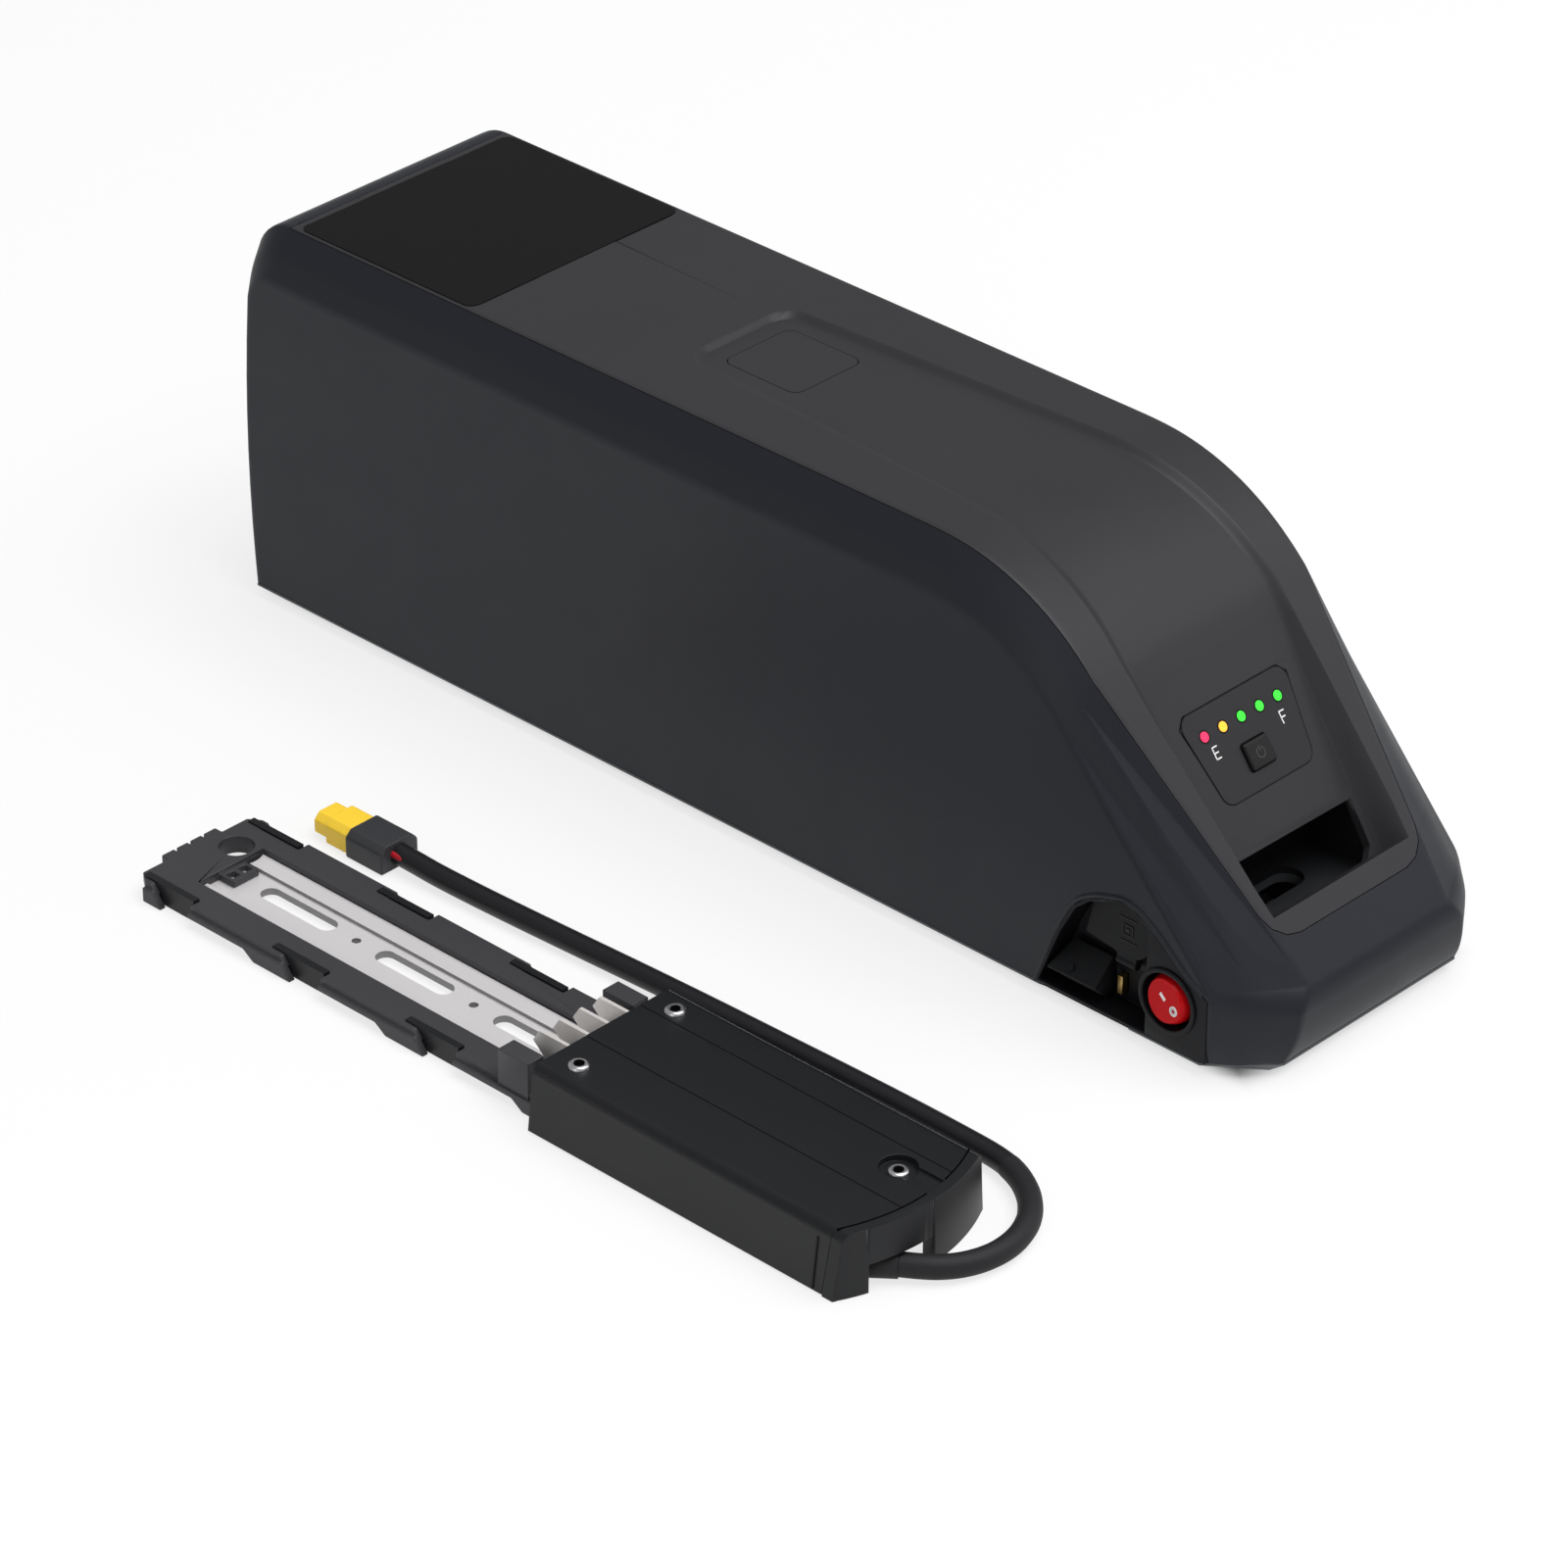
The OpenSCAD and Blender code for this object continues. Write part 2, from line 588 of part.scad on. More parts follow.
// Strips join the cells of each column, and then every second pair of columns on each side
module cell_strips(side) {
    y = side > 0 ? cell_len / 2 : -cell_len / 2 - strip_t;
    first = side > 0 ? 0 : 1;
    color("#c9ccd0") on_pack() {
        for (c = [0 : cell_cols - 1])
            box([cell_cx(c) - strip_w / 2, y, cell_cz(0) - strip_w / 2],
                [cell_cx(c) + strip_w / 2, y + strip_t, cell_cz(cell_rows - 1) + strip_w / 2]);
        for (c = [first : 2 : cell_cols - 2], r = [0 : cell_rows - 1])
            box([cell_cx(c), y, cell_cz(r) - strip_w / 2],
                [cell_cx(c + 1), y + strip_t, cell_cz(r) + strip_w / 2]);
    }
}
module nickel_strips_near() { cell_strips(-1); }
module nickel_strips_far() { cell_strips(1); }
pad_margin = 6;
module foam_pads() {
    color("#55565a") on_pack() for (side = [-1, 1]) {
        inner = cell_len / 2 + strip_t;
        outer = pack_w / 2 - shell_wall - fit;
        low_y = side > 0 ? inner : -outer;
        box([cell_cx(0), low_y, cell_cz(0) - pad_margin],
            [cell_cx(cell_cols - 2), low_y + outer - inner, cell_cz(cell_rows - 2) + pad_margin]);
    }
}

// Protection board on posts under the cells, with its power parts
pcb_t = 1.6;
bms_w = 76;
bms_from_lock = 26;
bms_from_socket = 1.7;
bms_x = lock_x + bms_from_lock;
bms_len = socket_x - bms_from_socket - bms_x;
bms_post_d = 5;
bms_post_y = 32;
bms_z = rail_slot_h + channel_wall;
bms_post_x = [bms_x + bms_post_d, bms_x + bms_len - bms_post_d];
chip = [10, 6, 4.4];
chip_pitch = 12;
chip_count = floor((bms_len - bms_post_d) / chip_pitch);
chip_y = 16;
module bms_board() {
    color("#1d5b38") on_pack() box([bms_x, -bms_w / 2, bms_z], [bms_x + bms_len, bms_w / 2, bms_z + pcb_t]);
}
module bms_parts() {
    color("#24262a") on_pack() for (k = [0 : chip_count - 1], side = [-1, 1])
        translate([bms_x + bms_post_d + k * chip_pitch, side * chip_y - chip[1] / 2, bms_z + pcb_t])
            cube(chip);
}

// Discharge socket at the step of the channel
socket_w = 28;
blade_pitch = 6.6;
blade_count = 4;
blade_t = 1;
blade_h = 7.4;
clip_gap = 1.4;
clip_t = 0.6;
clip_len = 15;
slot_side = 0.9;
clip_in = 1;
blade_z = 12.4;
function blade_y(k) = (k - (blade_count - 1) / 2) * blade_pitch;
module discharge_socket() {
    color("#26272b") on_pack() difference() {
        box([socket_x, -socket_w / 2, rail_slot_h], [socket_end, socket_w / 2, channel_top]);
        for (k = [0 : blade_count - 1])
            box([socket_end - clip_len, blade_y(k) - clip_gap - slot_side, blade_z - blade_h / 2 - fit],
                [socket_end + over, blade_y(k) + clip_gap + slot_side, blade_z + blade_h / 2 + fit]);
    }
}
module discharge_clips() {
    color("#c8a060") on_pack() for (k = [0 : blade_count - 1], side = [-1, 1]) {
        y = blade_y(k) + side * (clip_gap + slot_side - clip_t / 2);
        box([socket_end - clip_len, y - clip_t / 2, blade_z - blade_h / 2],
            [socket_end - clip_in, y + clip_t / 2, blade_z + blade_h / 2]);
    }
}

// Cup behind the handle opening
cup_in = 46;
cup_end_in = 18;
cup_x = pack_len - cup_in;
cup_end = pack_len - cup_end_in;
cup_lean = 9;
cup_half = opening_half + cup_wall;
cup_high = 66;
cup_base = channel_top;
// The left wall leans to the right, clear of the gauge board
module cup_body(half, inset, above) {
    low = cup_base + inset;
    top = cup_high + above;
    translate([0, half, 0]) rotate([90, 0, 0]) linear_extrude(2 * half)
        polygon([[cup_x + inset, low], [cup_end - inset, low], [cup_end - inset, top],
            [cup_x + inset + cup_lean, top]]);
}
module handle_cup() {
    color("#242528") on_pack() difference() {
        intersection() {
            cup_body(cup_half, 0, 0);
            under_cover();
        }
        cup_body(cup_half - cup_wall, cup_wall, over);
        translate([drain_x, 0, cup_base - over]) rotate(90)
            round_slot(drain_w, drain_len, cup_wall + 2 * over);
    }
}
module under_cover() {
    on_slope(slope_top) translate([0, 0, -cover_t - fit]) rotate([0, floor_tilt, 0])
        box([-pack_h, -pack_w, -pack_h], [2 * pack_h, pack_w, 0]);
}

// Port panel in the near side face: charging port, flap over the small socket, rocker switch
port_len = 54;
port_end_in = 16;
port_x = pack_len - port_end_in - port_len;
port_high = 34.5;
port_depth = 12;
port_rim = 1.2;
port_shares = [[0, 0], [0.11, 0.48], [0.2, 0.76], [0.29, 0.89], [0.41, 0.97], [0.54, 1], [0.7, 0.87],
    [0.86, 0.66], [1, 0.52], [1, 0]];
pocket_depth = 8;
pocket_end = 30;
pocket_ramp = 5;
pocket_floor_z = 1.2;
face_y = -pack_w / 2;
floor_y = face_y + pocket_depth;
module port_prism(grow, low_y, high_y) {
    c = [port_x + port_len / 2, strip_h + port_high / 2];
    pts = [for (q = port_shares) [port_x + q[0] * port_len, strip_h + q[1] * port_high]];
    translate([0, high_y, 0]) rotate([90, 0, 0]) linear_extrude(high_y - low_y)
        polygon([for (p = pts) p + grow * (p - c) / norm(p - c)]);
}
rocker_in = 12.3;
rocker_x = port_x + port_len - rocker_in;
port_cap_off = 14.7;
port_cap_x = rocker_x - port_cap_off;
port_cap_z = 29.2;
lid_t = 2;
cap_in = 2;
cap_room = 0.5;
// Shallow ledge behind the charging cap, as X and Z of the outline that it keeps inside the pocket
cap_ledge_in = cap_in + lid_t + fit;
cap_ledge_y = face_y + cap_ledge_in;
// From the cap's centre along the side, and up from the floor
cap_ledge_outline = [[-10.7, 40], [-15, 21.5], [-5.5, 20], [-3, 18], [11, 18], [11, 40]];
cap_stem_d = 6;
cap_stem_len = 3;
cap_tail_w = 6;
cap_hinge_d = 2.4;
cap_hinge_gap = 1.5;
charge_d = 13;
charge_bore = 9;
charge_len = 8;
charge_pin_d = 2;
charge_back = 1.6;
cap_y = cap_ledge_y - fit;
cap_hinge_z = port_cap_z - cap_d / 2 - cap_hinge_gap;
cap_hinge_y = cap_y - cap_hinge_d / 2;
flap_in = 7;
flap_x = port_x + flap_in;
flap_w = 12.2;
flap_flare = 3.2;
flap_len = 9.5;
flap_t = 1.6;
flap_tilt = 45;
flap_top_z = 15.4;
flap_seat = 0.4;
flap_top_y = floor_y - flap_seat;
flap_nub_d = 2.2;
flap_nub_share = 0.27;
housing_t = 5;
usb_side = 1;
usb_margin = 2.4;
usb_wall = 0.5;
usb_depth = 3.6;
flap_nub_h = 0.6;
fuse_off = 14;
fuse_x = flap_x + fuse_off;
fuse_z = 7;
fuse_size = [1.6, 4.5, 5];
fuse_proud = 2;
rocker_z = 16.8;
bezel_proud = 0.6;
bezel_tube_d = 16.4;
bezel_bore_d = 15;
bezel_depth = 9;
bezel_floor = 1.6;
rocker_proud = 0.9;
rocker_pivot = 3.8;
rocker_low = 1.2;
rocker_tilt = 8;
rocker_turn = 38;
pin_d = 1.6;
tab_size = [0.8, 4, 5];
module on_flap() { translate([flap_x, flap_top_y, flap_top_z]) rotate([-flap_tilt, 0, 0]) children(); }
module port_panel() {
    color("#2c2d31") on_pack() difference() {
        union() {
            difference() {
                port_prism(-fit, face_y, face_y + port_depth);
                difference() {
                    intersection() {
                        port_prism(-fit - port_rim, face_y - over, floor_y);
                        translate([port_x, face_y, -over]) linear_extrude(pack_h) polygon([[-over, -over],
                            [pocket_end + pocket_ramp * (1 + over / pocket_depth), -over],
                            [pocket_end, pocket_depth], [-over, pocket_depth]]);
                    }
                    translate([0, floor_y + over, 0]) rotate([90, 0, 0])
                        linear_extrude(floor_y + over - cap_ledge_y)
                            translate([port_cap_x, 0]) polygon(cap_ledge_outline);
                }
            }
            intersection() {
                on_flap() box([0, fit, -flap_len], [flap_w, housing_t, -fit]);
                box([port_x, face_y, strip_h + fit], [port_x + port_len, floor_y + over, port_high]);
            }
        }
        on_flap() box([usb_side, -over, usb_margin - flap_len],
            [flap_w - usb_side, housing_t + over, -usb_margin]);
        rod_y([port_cap_x, cap_ledge_y - over, port_cap_z], charge_d + 2 * slip, port_depth);
        rod_y([port_cap_x, face_y - over, port_cap_z], cap_d + 2 * cap_room, cap_ledge_in + over);
        rod_y([rocker_x, face_y - over, rocker_z], bezel_tube_d + 2 * slip, port_depth + 2 * over);
        box([fuse_x - fit, floor_y - over, fuse_z - fit],
            [fuse_x + fuse_size[0] + fit, floor_y + fuse_size[1] - fuse_proud + fit,
             fuse_z + fuse_size[2] + fit]);
    }
}
module charge_socket() {
    color("#1a1a1c") on_pack() difference() {
        rod_y([port_cap_x, cap_ledge_y, port_cap_z], charge_d, charge_len);
        rod_y([port_cap_x, cap_ledge_y - over, port_cap_z], charge_bore, charge_len - charge_back + over);
    }
}
module charge_pin() {
    half = charge_len / 2;
    color("#c9ccd0") on_pack()
        rod_y([port_cap_x, cap_ledge_y + half, port_cap_z], charge_pin_d, half - charge_back);
}
module charge_cap() {
    color("#232427") on_pack() {
        rod_y([port_cap_x, cap_y - lid_t, port_cap_z], cap_d, lid_t);
        rod_y([port_cap_x, cap_y - over, port_cap_z], cap_stem_d, cap_stem_len + over);
        box([port_cap_x - cap_tail_w / 2, cap_y - lid_t, cap_hinge_z],
            [port_cap_x + cap_tail_w / 2, cap_y, port_cap_z - cap_d / 4]);
        rod_x([port_cap_x - cap_tail_w / 2, cap_hinge_y, cap_hinge_z], cap_hinge_d, cap_tail_w);
    }
}
module usb_socket() {
    color("#b4b7bb") on_pack() on_flap() difference() {
        box([usb_side + slip, fit, usb_margin + slip - flap_len],
            [flap_w - usb_side - slip, usb_depth, -usb_margin - slip]);
        box([usb_side + slip + usb_wall, -over, usb_margin + slip + usb_wall - flap_len],
            [flap_w - usb_side - slip - usb_wall, usb_depth - usb_wall, -usb_margin - slip - usb_wall]);
    }
}
module usb_flap() {
    color("#26272a") on_pack() on_flap() {
        rotate([90, 0, 0]) linear_extrude(flap_t)
            polygon([[-flap_flare, -flap_len], [flap_w, -flap_len], [flap_w, 0], [0, 0]]);
        translate([flap_w * flap_nub_share, 0, flap_nub_d - flap_len]) rotate([90, 0, 0])
            cylinder(d = flap_nub_d, h = flap_t + flap_nub_h);
    }
}
module fuse_contact() {
    color("#b58a3c") on_pack() translate([fuse_x, floor_y - fuse_proud, fuse_z]) cube(fuse_size);
}
module switch_bezel() {
    color("#161618") on_pack() difference() {
        union() {
            rod_y([rocker_x, face_y - bezel_proud, rocker_z], bezel_d, bezel_proud);
            rod_y([rocker_x, face_y - bezel_proud / 2, rocker_z], bezel_tube_d, bezel_depth);
        }
        rod_y([rocker_x, face_y - bezel_proud - over, rocker_z], bezel_bore_d,
            bezel_depth + bezel_proud / 2 - bezel_floor + over);
        switch_pin(pin_d + 2 * slip, bezel_tube_d + over);
    }
}
// Pin across the bezel at the rocker's pivot
module switch_pin(d, length) {
    translate([rocker_x, face_y - rocker_proud + rocker_pivot, rocker_z]) rotate([0, rocker_turn, 0])
        translate([0, 0, -length / 2]) cylinder(d = d, h = length);
}
module switch_pivot() { color("#8d9095") on_pack() switch_pin(pin_d, bezel_tube_d - 2 * slip); }
module rocker() {
    ball = norm([rocker_d / 2, rocker_pivot]);
    color("#c8191e") on_pack() difference() {
        translate([rocker_x, face_y - rocker_proud + rocker_pivot, rocker_z]) rotate([0, rocker_turn, 0])
            rotate([0, 0, -rocker_tilt]) intersection() {
                sphere(r = ball);
                box([-ball, -rocker_pivot, -ball], [ball, rocker_low, ball]);
            }
        switch_pin(pin_d + 2 * slip, bezel_tube_d);
    }
}
module switch_tabs() {
    back_y = face_y - bezel_proud / 2 + bezel_depth;
    color("#c8a060") on_pack() for (side = [-1, 1])
        translate([rocker_x + side * rocker_d / 4, back_y, rocker_z - tab_size[2] / 2]) cube(tab_size);
}

// Bosses and screws that hold the bottom cover
boss_in = 30;
boss_off = 10;
boss_socket_off = 16.3;
boss_x = [boss_in, bms_x - boss_off, socket_end + boss_socket_off];
boss_y = 36;
boss_half = 4;
boss_h = 12;
screw_d = 3;
screw_head_d = 5.6;
screw_head_h = 1.8;
screw_sink = 0.4;
screw_len = 9;
module side_shell() {
    color("#2b2d30") on_pack() difference() {
        union() {
            difference() {
                body_solid(0);
                body_solid(shell_wall, over);
            }
            for (x = boss_x, side = [-1, 1])
                translate([x - boss_half, side > 0 ? boss_y - boss_half : -pack_w / 2 + over, strip_h])
                    cube([2 * boss_half, pack_w / 2 - over - boss_y + boss_half, boss_h]);
        }
        box([-over, -pack_w, -over], [pack_len + over, pack_w, strip_h]);
        through_rings(cover_rings(fit, over, cover_t + fit));
        port_prism(0, face_y - over, face_y + 2 * shell_wall);
        rod_y([barrel_x, pack_w / 2 - 2 * shell_wall, lock_z], lock_d + 2 * fit, 3 * shell_wall);
        for (x = boss_x, side = [-1, 1]) translate([x, side * boss_y, strip_h - over])
            cylinder(d = screw_d + 2 * slip, h = boss_h);
    }
}
module case_screws() {
    color("#3a3b3e") on_pack() for (x = boss_x, side = [-1, 1]) translate([x, side * boss_y, screw_sink]) {
        cylinder(d = screw_head_d, h = screw_head_h);
        cylinder(d = screw_d, h = screw_head_h + screw_len);
    }
}
lead_d = 3;
lead_y = 5;
module pack_leads() {
    start = bms_x + bms_len - 2 * lead_d;
    color("#b3202a") on_pack() for (y = [-lead_y, lead_y])
        rod_x([start, y, bms_z + pcb_t + lead_d / 2], lead_d, socket_x - start);
}

// Mounting base: plastic rail on feet, with an aluminium plate under its flange
flange_z = 3;
rail_half = rail_w / 2;
rail_start = 2.4;
rail_end = 3.4;
rail_tail_in = 8;
end_tab_half = 9;
end_rib_count = 4;
end_rib_gap = 0.75;
window_x = 15.6;
window_half = 10.7;
window_end_in = 14;
foot_x = 13;
foot_pitch = 46.4;
foot_count = 4;
foot_len = 20;
foot_slant = 5.8;
foot_gap = 9.2;
foot_cut = 4.3;
foot_lead = 6;
ledge_in = 2;
ledge_drop = 1.5;
skirt_drop = 0.7;
lock_hole_wall = 2;
lock_hole_low = 0.5;
plate_x = 13;
plate_end_in = 13;
plate_half = 13;
plate_low = 1;
plate_rib_h = 0.9;
plate_rib_near = 2.6;
plate_rib_far = 5.4;
slot_x = 39.5;
slot_y = 0.4;
slot_count = 3;
pilot_d = 2.4;
loop_len = 5.6;
loop_half = 4.2;
loop_t = 1.8;
loop_hole = 2.6;
loop_hole_y = 2;
clamp_len = 10;
clamp_w = 5.4;
clamp_h = 8.5;
clamp_y = 17.4;
box_x = base_len - box_len;
cap_sagitta = 6.5;
cap_r = (pow(box_w / 2, 2) + pow(cap_sagitta, 2)) / (2 * cap_sagitta);
cap_t = 3;
cap_flange_len = 6;
cap_flange_t = 1.2;
box_lean = 2;
box_edge = 2.6;
box_edge_share = 0.3;
cover_foot = 0.3;
cover_screw_in = 8;
cover_screw_y = 16;
end_screw_in = 15;
end_screw_y = 5.7;
end_pan_d = 9.4;
end_pan_depth = 1.8;
end_notch_w = 6;
post_d = 6.2;
crease_y_shares = [-0.24, 0.47];
crease_w = 0.5;
crease_depth = 0.25;
board_z = 7;
board_len = 72;
board_in = 13;
board_half = 20;
standoff_d = 5;
standoff_in = 5;
rail_tail = base_len - cap_sagitta - rail_tail_in;
// Each cover screw's place and how deep its head sits below the box's top
cover_screws = [[box_x + cover_screw_in, -cover_screw_y, 0], [box_x + cover_screw_in, cover_screw_y, 0],
    [base_len - end_screw_in, end_screw_y, end_pan_depth]];
standoffs = [for (x = [board_in + standoff_in, board_in + board_len - standoff_in], side = [-1, 1])
    [box_x + x, side * (board_half - standoff_in)]];
slots = [for (k = [0 : slot_count - 1]) [slot_x + k * slot_pitch, slot_y]];

module rail_flange() {
    wide = rail_half - ledge_in / 2;
    corner_x = rail_start + rail_end;
    translate([0, 0, flange_z]) linear_extrude(rail_h - flange_z)
        polygon([[rail_start, rail_end - rail_half], [rail_start, rail_half - rail_end], [corner_x, wide],
            [rail_tail, wide], [rail_tail, -wide], [corner_x, -wide]]);
    box([0, -end_tab_half, flange_z], [rail_start + over, end_tab_half, rail_h]);
}
// Ledge along one edge with the feet below it
module rail_feet(side) {
    middle = side * (rail_half - ledge_in / 2);
    translate([0, middle + ledge_in / 2, 0]) rotate([90, 0, 0]) linear_extrude(ledge_in) {
        polygon([[rail_start + rail_end, rail_h - ledge_drop], [rail_start + rail_end, flange_z - skirt_drop],
            [box_x + foot_len, flange_z - skirt_drop], [box_x + foot_len, rail_h - ledge_drop]]);
        for (k = [0 : foot_count - 1]) {
            end = foot_x + k * foot_pitch;
            start = k == 0 ? rail_start + rail_end : end - foot_len;
            lead = k == 0 ? 0 : foot_lead;
            polygon([[start, rail_h - ledge_drop], [start + lead, 0], [end, 0], [end, rail_h - ledge_drop]]);
        }
    }
}
// Slanted notch that ends each foot in front of the box
module foot_notches(side) {
    edge = side * (rail_half - foot_cut / 2 + over / 2) + (foot_cut + over) / 2;
    top = rail_h + over;
    for (k = [0 : foot_count - 2]) {
        x = foot_x + k * foot_pitch;
        translate([0, edge, 0]) rotate([90, 0, 0]) linear_extrude(foot_cut + over)
            polygon([[x - foot_slant, top], [x, -over], [x + foot_gap, -over], [x + foot_gap, top]]);
    }
}
module cable_loop() {
    x = window_x + loop_len / 2;
    r = loop_hole / 2;
    difference() {
        box([window_x - over, -loop_half, flange_z], [window_x + loop_len, loop_half, flange_z + loop_t]);
        for (side = [-1, 1])
            box([x - r, side * loop_hole_y - r, flange_z - over],
                [x + r, side * loop_hole_y + r, rail_h + over]);
    }
}
module cover_posts() {
    for (p = cover_screws) translate([p[0], p[1], flange_z])
        cylinder(d = post_d, h = box_h - sheet_t - p[2] - slip - flange_z);
    for (p = standoffs) translate([p[0], p[1], flange_z]) cylinder(d = standoff_d, h = board_z - flange_z);
}
module end_rib_grooves() {
    step = 2 * end_tab_half / end_rib_count;
    for (k = [1 : end_rib_count - 1])
        box([-over, k * step - end_tab_half - end_rib_gap / 2, flange_z - over],
            [rail_start / 2, k * step - end_tab_half + end_rib_gap / 2, rail_h + over]);
}
module base_rail() {
    color("#1f2023") on_base() {
        difference() {
            union() {
                rail_flange();
                for (side = [-1, 1]) rail_feet(side);
                translate([lock_in, lock_off, lock_hole_low])
                    cylinder(d = lock_hole_d + 2 * lock_hole_wall, h = rail_h - lock_hole_low);
                for (side = [-1, 1]) translate([box_x - clamp_in, side * clamp_y - clamp_w / 2, flange_z])
                    cube([clamp_len, clamp_w, rail_h - flange_z + clamp_h]);
                cover_posts();
            }
            box([window_x, -window_half, -over], [box_x - window_end_in, window_half, rail_h + over]);
            for (side = [-1, 1]) foot_notches(side);
            end_rib_grooves();
            translate([lock_in, lock_off, -over]) cylinder(d = lock_hole_d, h = rail_h + 2 * over);
            for (p = cover_screws) translate([p[0], p[1], plate_low])
                cylinder(d = screw_d + 2 * slip, h = box_h);
        }
        cable_loop();
    }
}
module base_plate() {
    color("#d7cdcd") on_base() difference() {
        union() {
            box([plate_x, -plate_half, plate_low], [base_len - plate_end_in, plate_half, flange_z - slip]);
            box([window_x + fit, fit - window_half, plate_low],
                [box_x - window_end_in - fit, plate_rib_near - window_half, flange_z + plate_rib_h]);
            box([window_x + fit, window_half - plate_rib_far, plate_low],
                [box_x - window_end_in - fit, window_half - fit, flange_z + plate_rib_h]);
        }
        for (p = slots) translate([p[0], p[1], 0]) round_slot(slot_len, slot_w, flange_z + over);
        for (k = [0 : slot_count - 2]) translate([slot_x + (k + 1 / 2) * slot_pitch, slot_y, 0])
            cylinder(d = pilot_d, h = flange_z + over);
        translate([lock_in, lock_off, 0])
            cylinder(d = lock_hole_d + 2 * lock_hole_wall + 2 * fit, h = rail_h);
        for (p = cover_screws) translate([p[0], p[1], 0]) cylinder(d = screw_d + 2 * fit, h = rail_h);
    }
}

// Controller box over the right end of the rail
module box_section(inset, low) {
    h = box_h - inset;
    e = box_edge;
    near = e * box_edge_share;
    top = box_w / 2 - box_lean - inset;
    foot = top + box_lean * (1 - low / (h - e));
    polygon([[-foot, low], [-top, h - e], [near - top, h - near], [e - top, h],
        [top - e, h], [top - near, h - near], [top, h - e], [foot, low]]);
}
module along_x(x, length) { translate([x, 0, 0]) rotate([90, 0, 90]) linear_extrude(length) children(); }
module box_bar(inset, low) { along_x(box_x - over, box_len + 2 * over) box_section(inset, low); }
// Everything left of the rounded end, moved inwards by inset
module end_round(inset) {
    translate([base_len - cap_r, 0, -2 * over]) cylinder(r = cap_r - inset, h = box_h + 4 * over);
    box([box_x - 2 * over, -box_w, -2 * over], [base_len - cap_r, box_w, box_h + 2 * over]);
}
module controller_cover() {
    end = cover_screws[2];
    color("#17181a") on_base() difference() {
        union() {
            intersection() {
                difference() {
                    along_x(box_x, box_len) box_section(0, cover_foot);
                    box_bar(sheet_t, -over);
                }
                end_round(cap_t + slip);
            }
            translate([end[0], end[1], box_h - end_pan_depth - sheet_t])
                cylinder(d = end_pan_d + 2 * sheet_t, h = end_pan_depth + sheet_t);
        }
        translate([end[0], end[1], box_h - end_pan_depth]) {
            cylinder(d = end_pan_d, h = end_pan_depth + over);
            translate([0, -end_notch_w / 2, end_pan_depth / 2]) cube([end_screw_in, end_notch_w, box_h]);
        }
        for (p = cover_screws) translate([p[0], p[1], box_h / 2]) cylinder(d = screw_d + 2 * fit, h = box_h);
        for (share = crease_y_shares)
            box([box_x - over, share * box_w / 2, box_h - crease_depth],
                [base_len + over, share * box_w / 2 + crease_w, box_h + over]);
    }
}
arch_half = 9;
arch_y = -8;
arch_h = 7.8;
module end_cap() {
    start = base_len - cap_sagitta - cap_t - cap_flange_len;
    color("#1b1c1f") on_base() difference() {
        union() {
            intersection() {
                along_x(start, base_len - start) box_section(0, 0);
                difference() {
                    end_round(0);
                    end_round(cap_t);
                }
            }
            intersection() {
                difference() {
                    along_x(start, base_len - start) box_section(sheet_t + slip, cover_foot);
                    box_bar(sheet_t + slip + cap_flange_t, -over);
                }
                end_round(cap_t / 2);
            }
        }
        box([start - over, arch_y - arch_half, -over], [base_len + over, arch_y + arch_half, arch_h]);
        translate([cover_screws[2][0], cover_screws[2][1], -over])
            cylinder(d = end_pan_d + 2 * sheet_t + 2 * fit, h = box_h + 2 * over);
    }
}
pan_head_d = 5.4;
pan_head_h = 1;
module cover_screw_set() {
    color("#b8babd") on_base() for (p = cover_screws) translate([p[0], p[1], box_h - p[2]]) {
        cylinder(d = pan_head_d, h = pan_head_h);
        translate([0, 0, -screw_len]) cylinder(d = screw_d, h = screw_len + pan_head_h / 2);
    }
}
blade_len = 18;
blade_out = 13;
blade_tip_shares = [0.12, 0.25, 0.55];
blade_block_len = 8;
blade_block_half = 12.6;
module blade_block() {
    color("#222327") on_base() difference() {
        box([box_x + fit, -blade_block_half, rail_h],
            [box_x + fit + blade_block_len, blade_block_half, box_h - sheet_t - slip]);
        for (k = [0 : blade_count - 1])
            box([box_x - over, blade_y(k) - blade_t / 2 - slip / 2, blade_z - blade_h / 2 - slip / 2],
                [box_x + blade_block_len + over, blade_y(k) + blade_t / 2 + slip / 2, box_h]);
    }
}
module blade_contacts() {
    tip = blade_tip_shares;
    color("#c99a6b") on_base() for (k = [0 : blade_count - 1])
        translate([box_x - blade_out, blade_y(k) + blade_t / 2, blade_z - blade_h / 2]) rotate([90, 0, 0])
            linear_extrude(blade_t) polygon([[0, blade_h * tip[2]], [blade_len * tip[1], 0], [blade_len, 0],
                [blade_len, blade_h], [blade_len * tip[0], blade_h]]);
}
transistor_len = 10;
transistor_t = 4.6;
transistor_h = 7;
transistor_count = 6;
transistor_pitch = 11;
transistor_in = 1;
capacitor_d = 7.6;
capacitor_len = 16;
capacitor_count = 2;
capacitor_pitch = 22;
capacitor_in = 5;
module controller_board() {
    color("#1d5b38") on_base() box([box_x + board_in, -board_half, board_z],
        [box_x + board_in + board_len, board_half, board_z + pcb_t]);
}
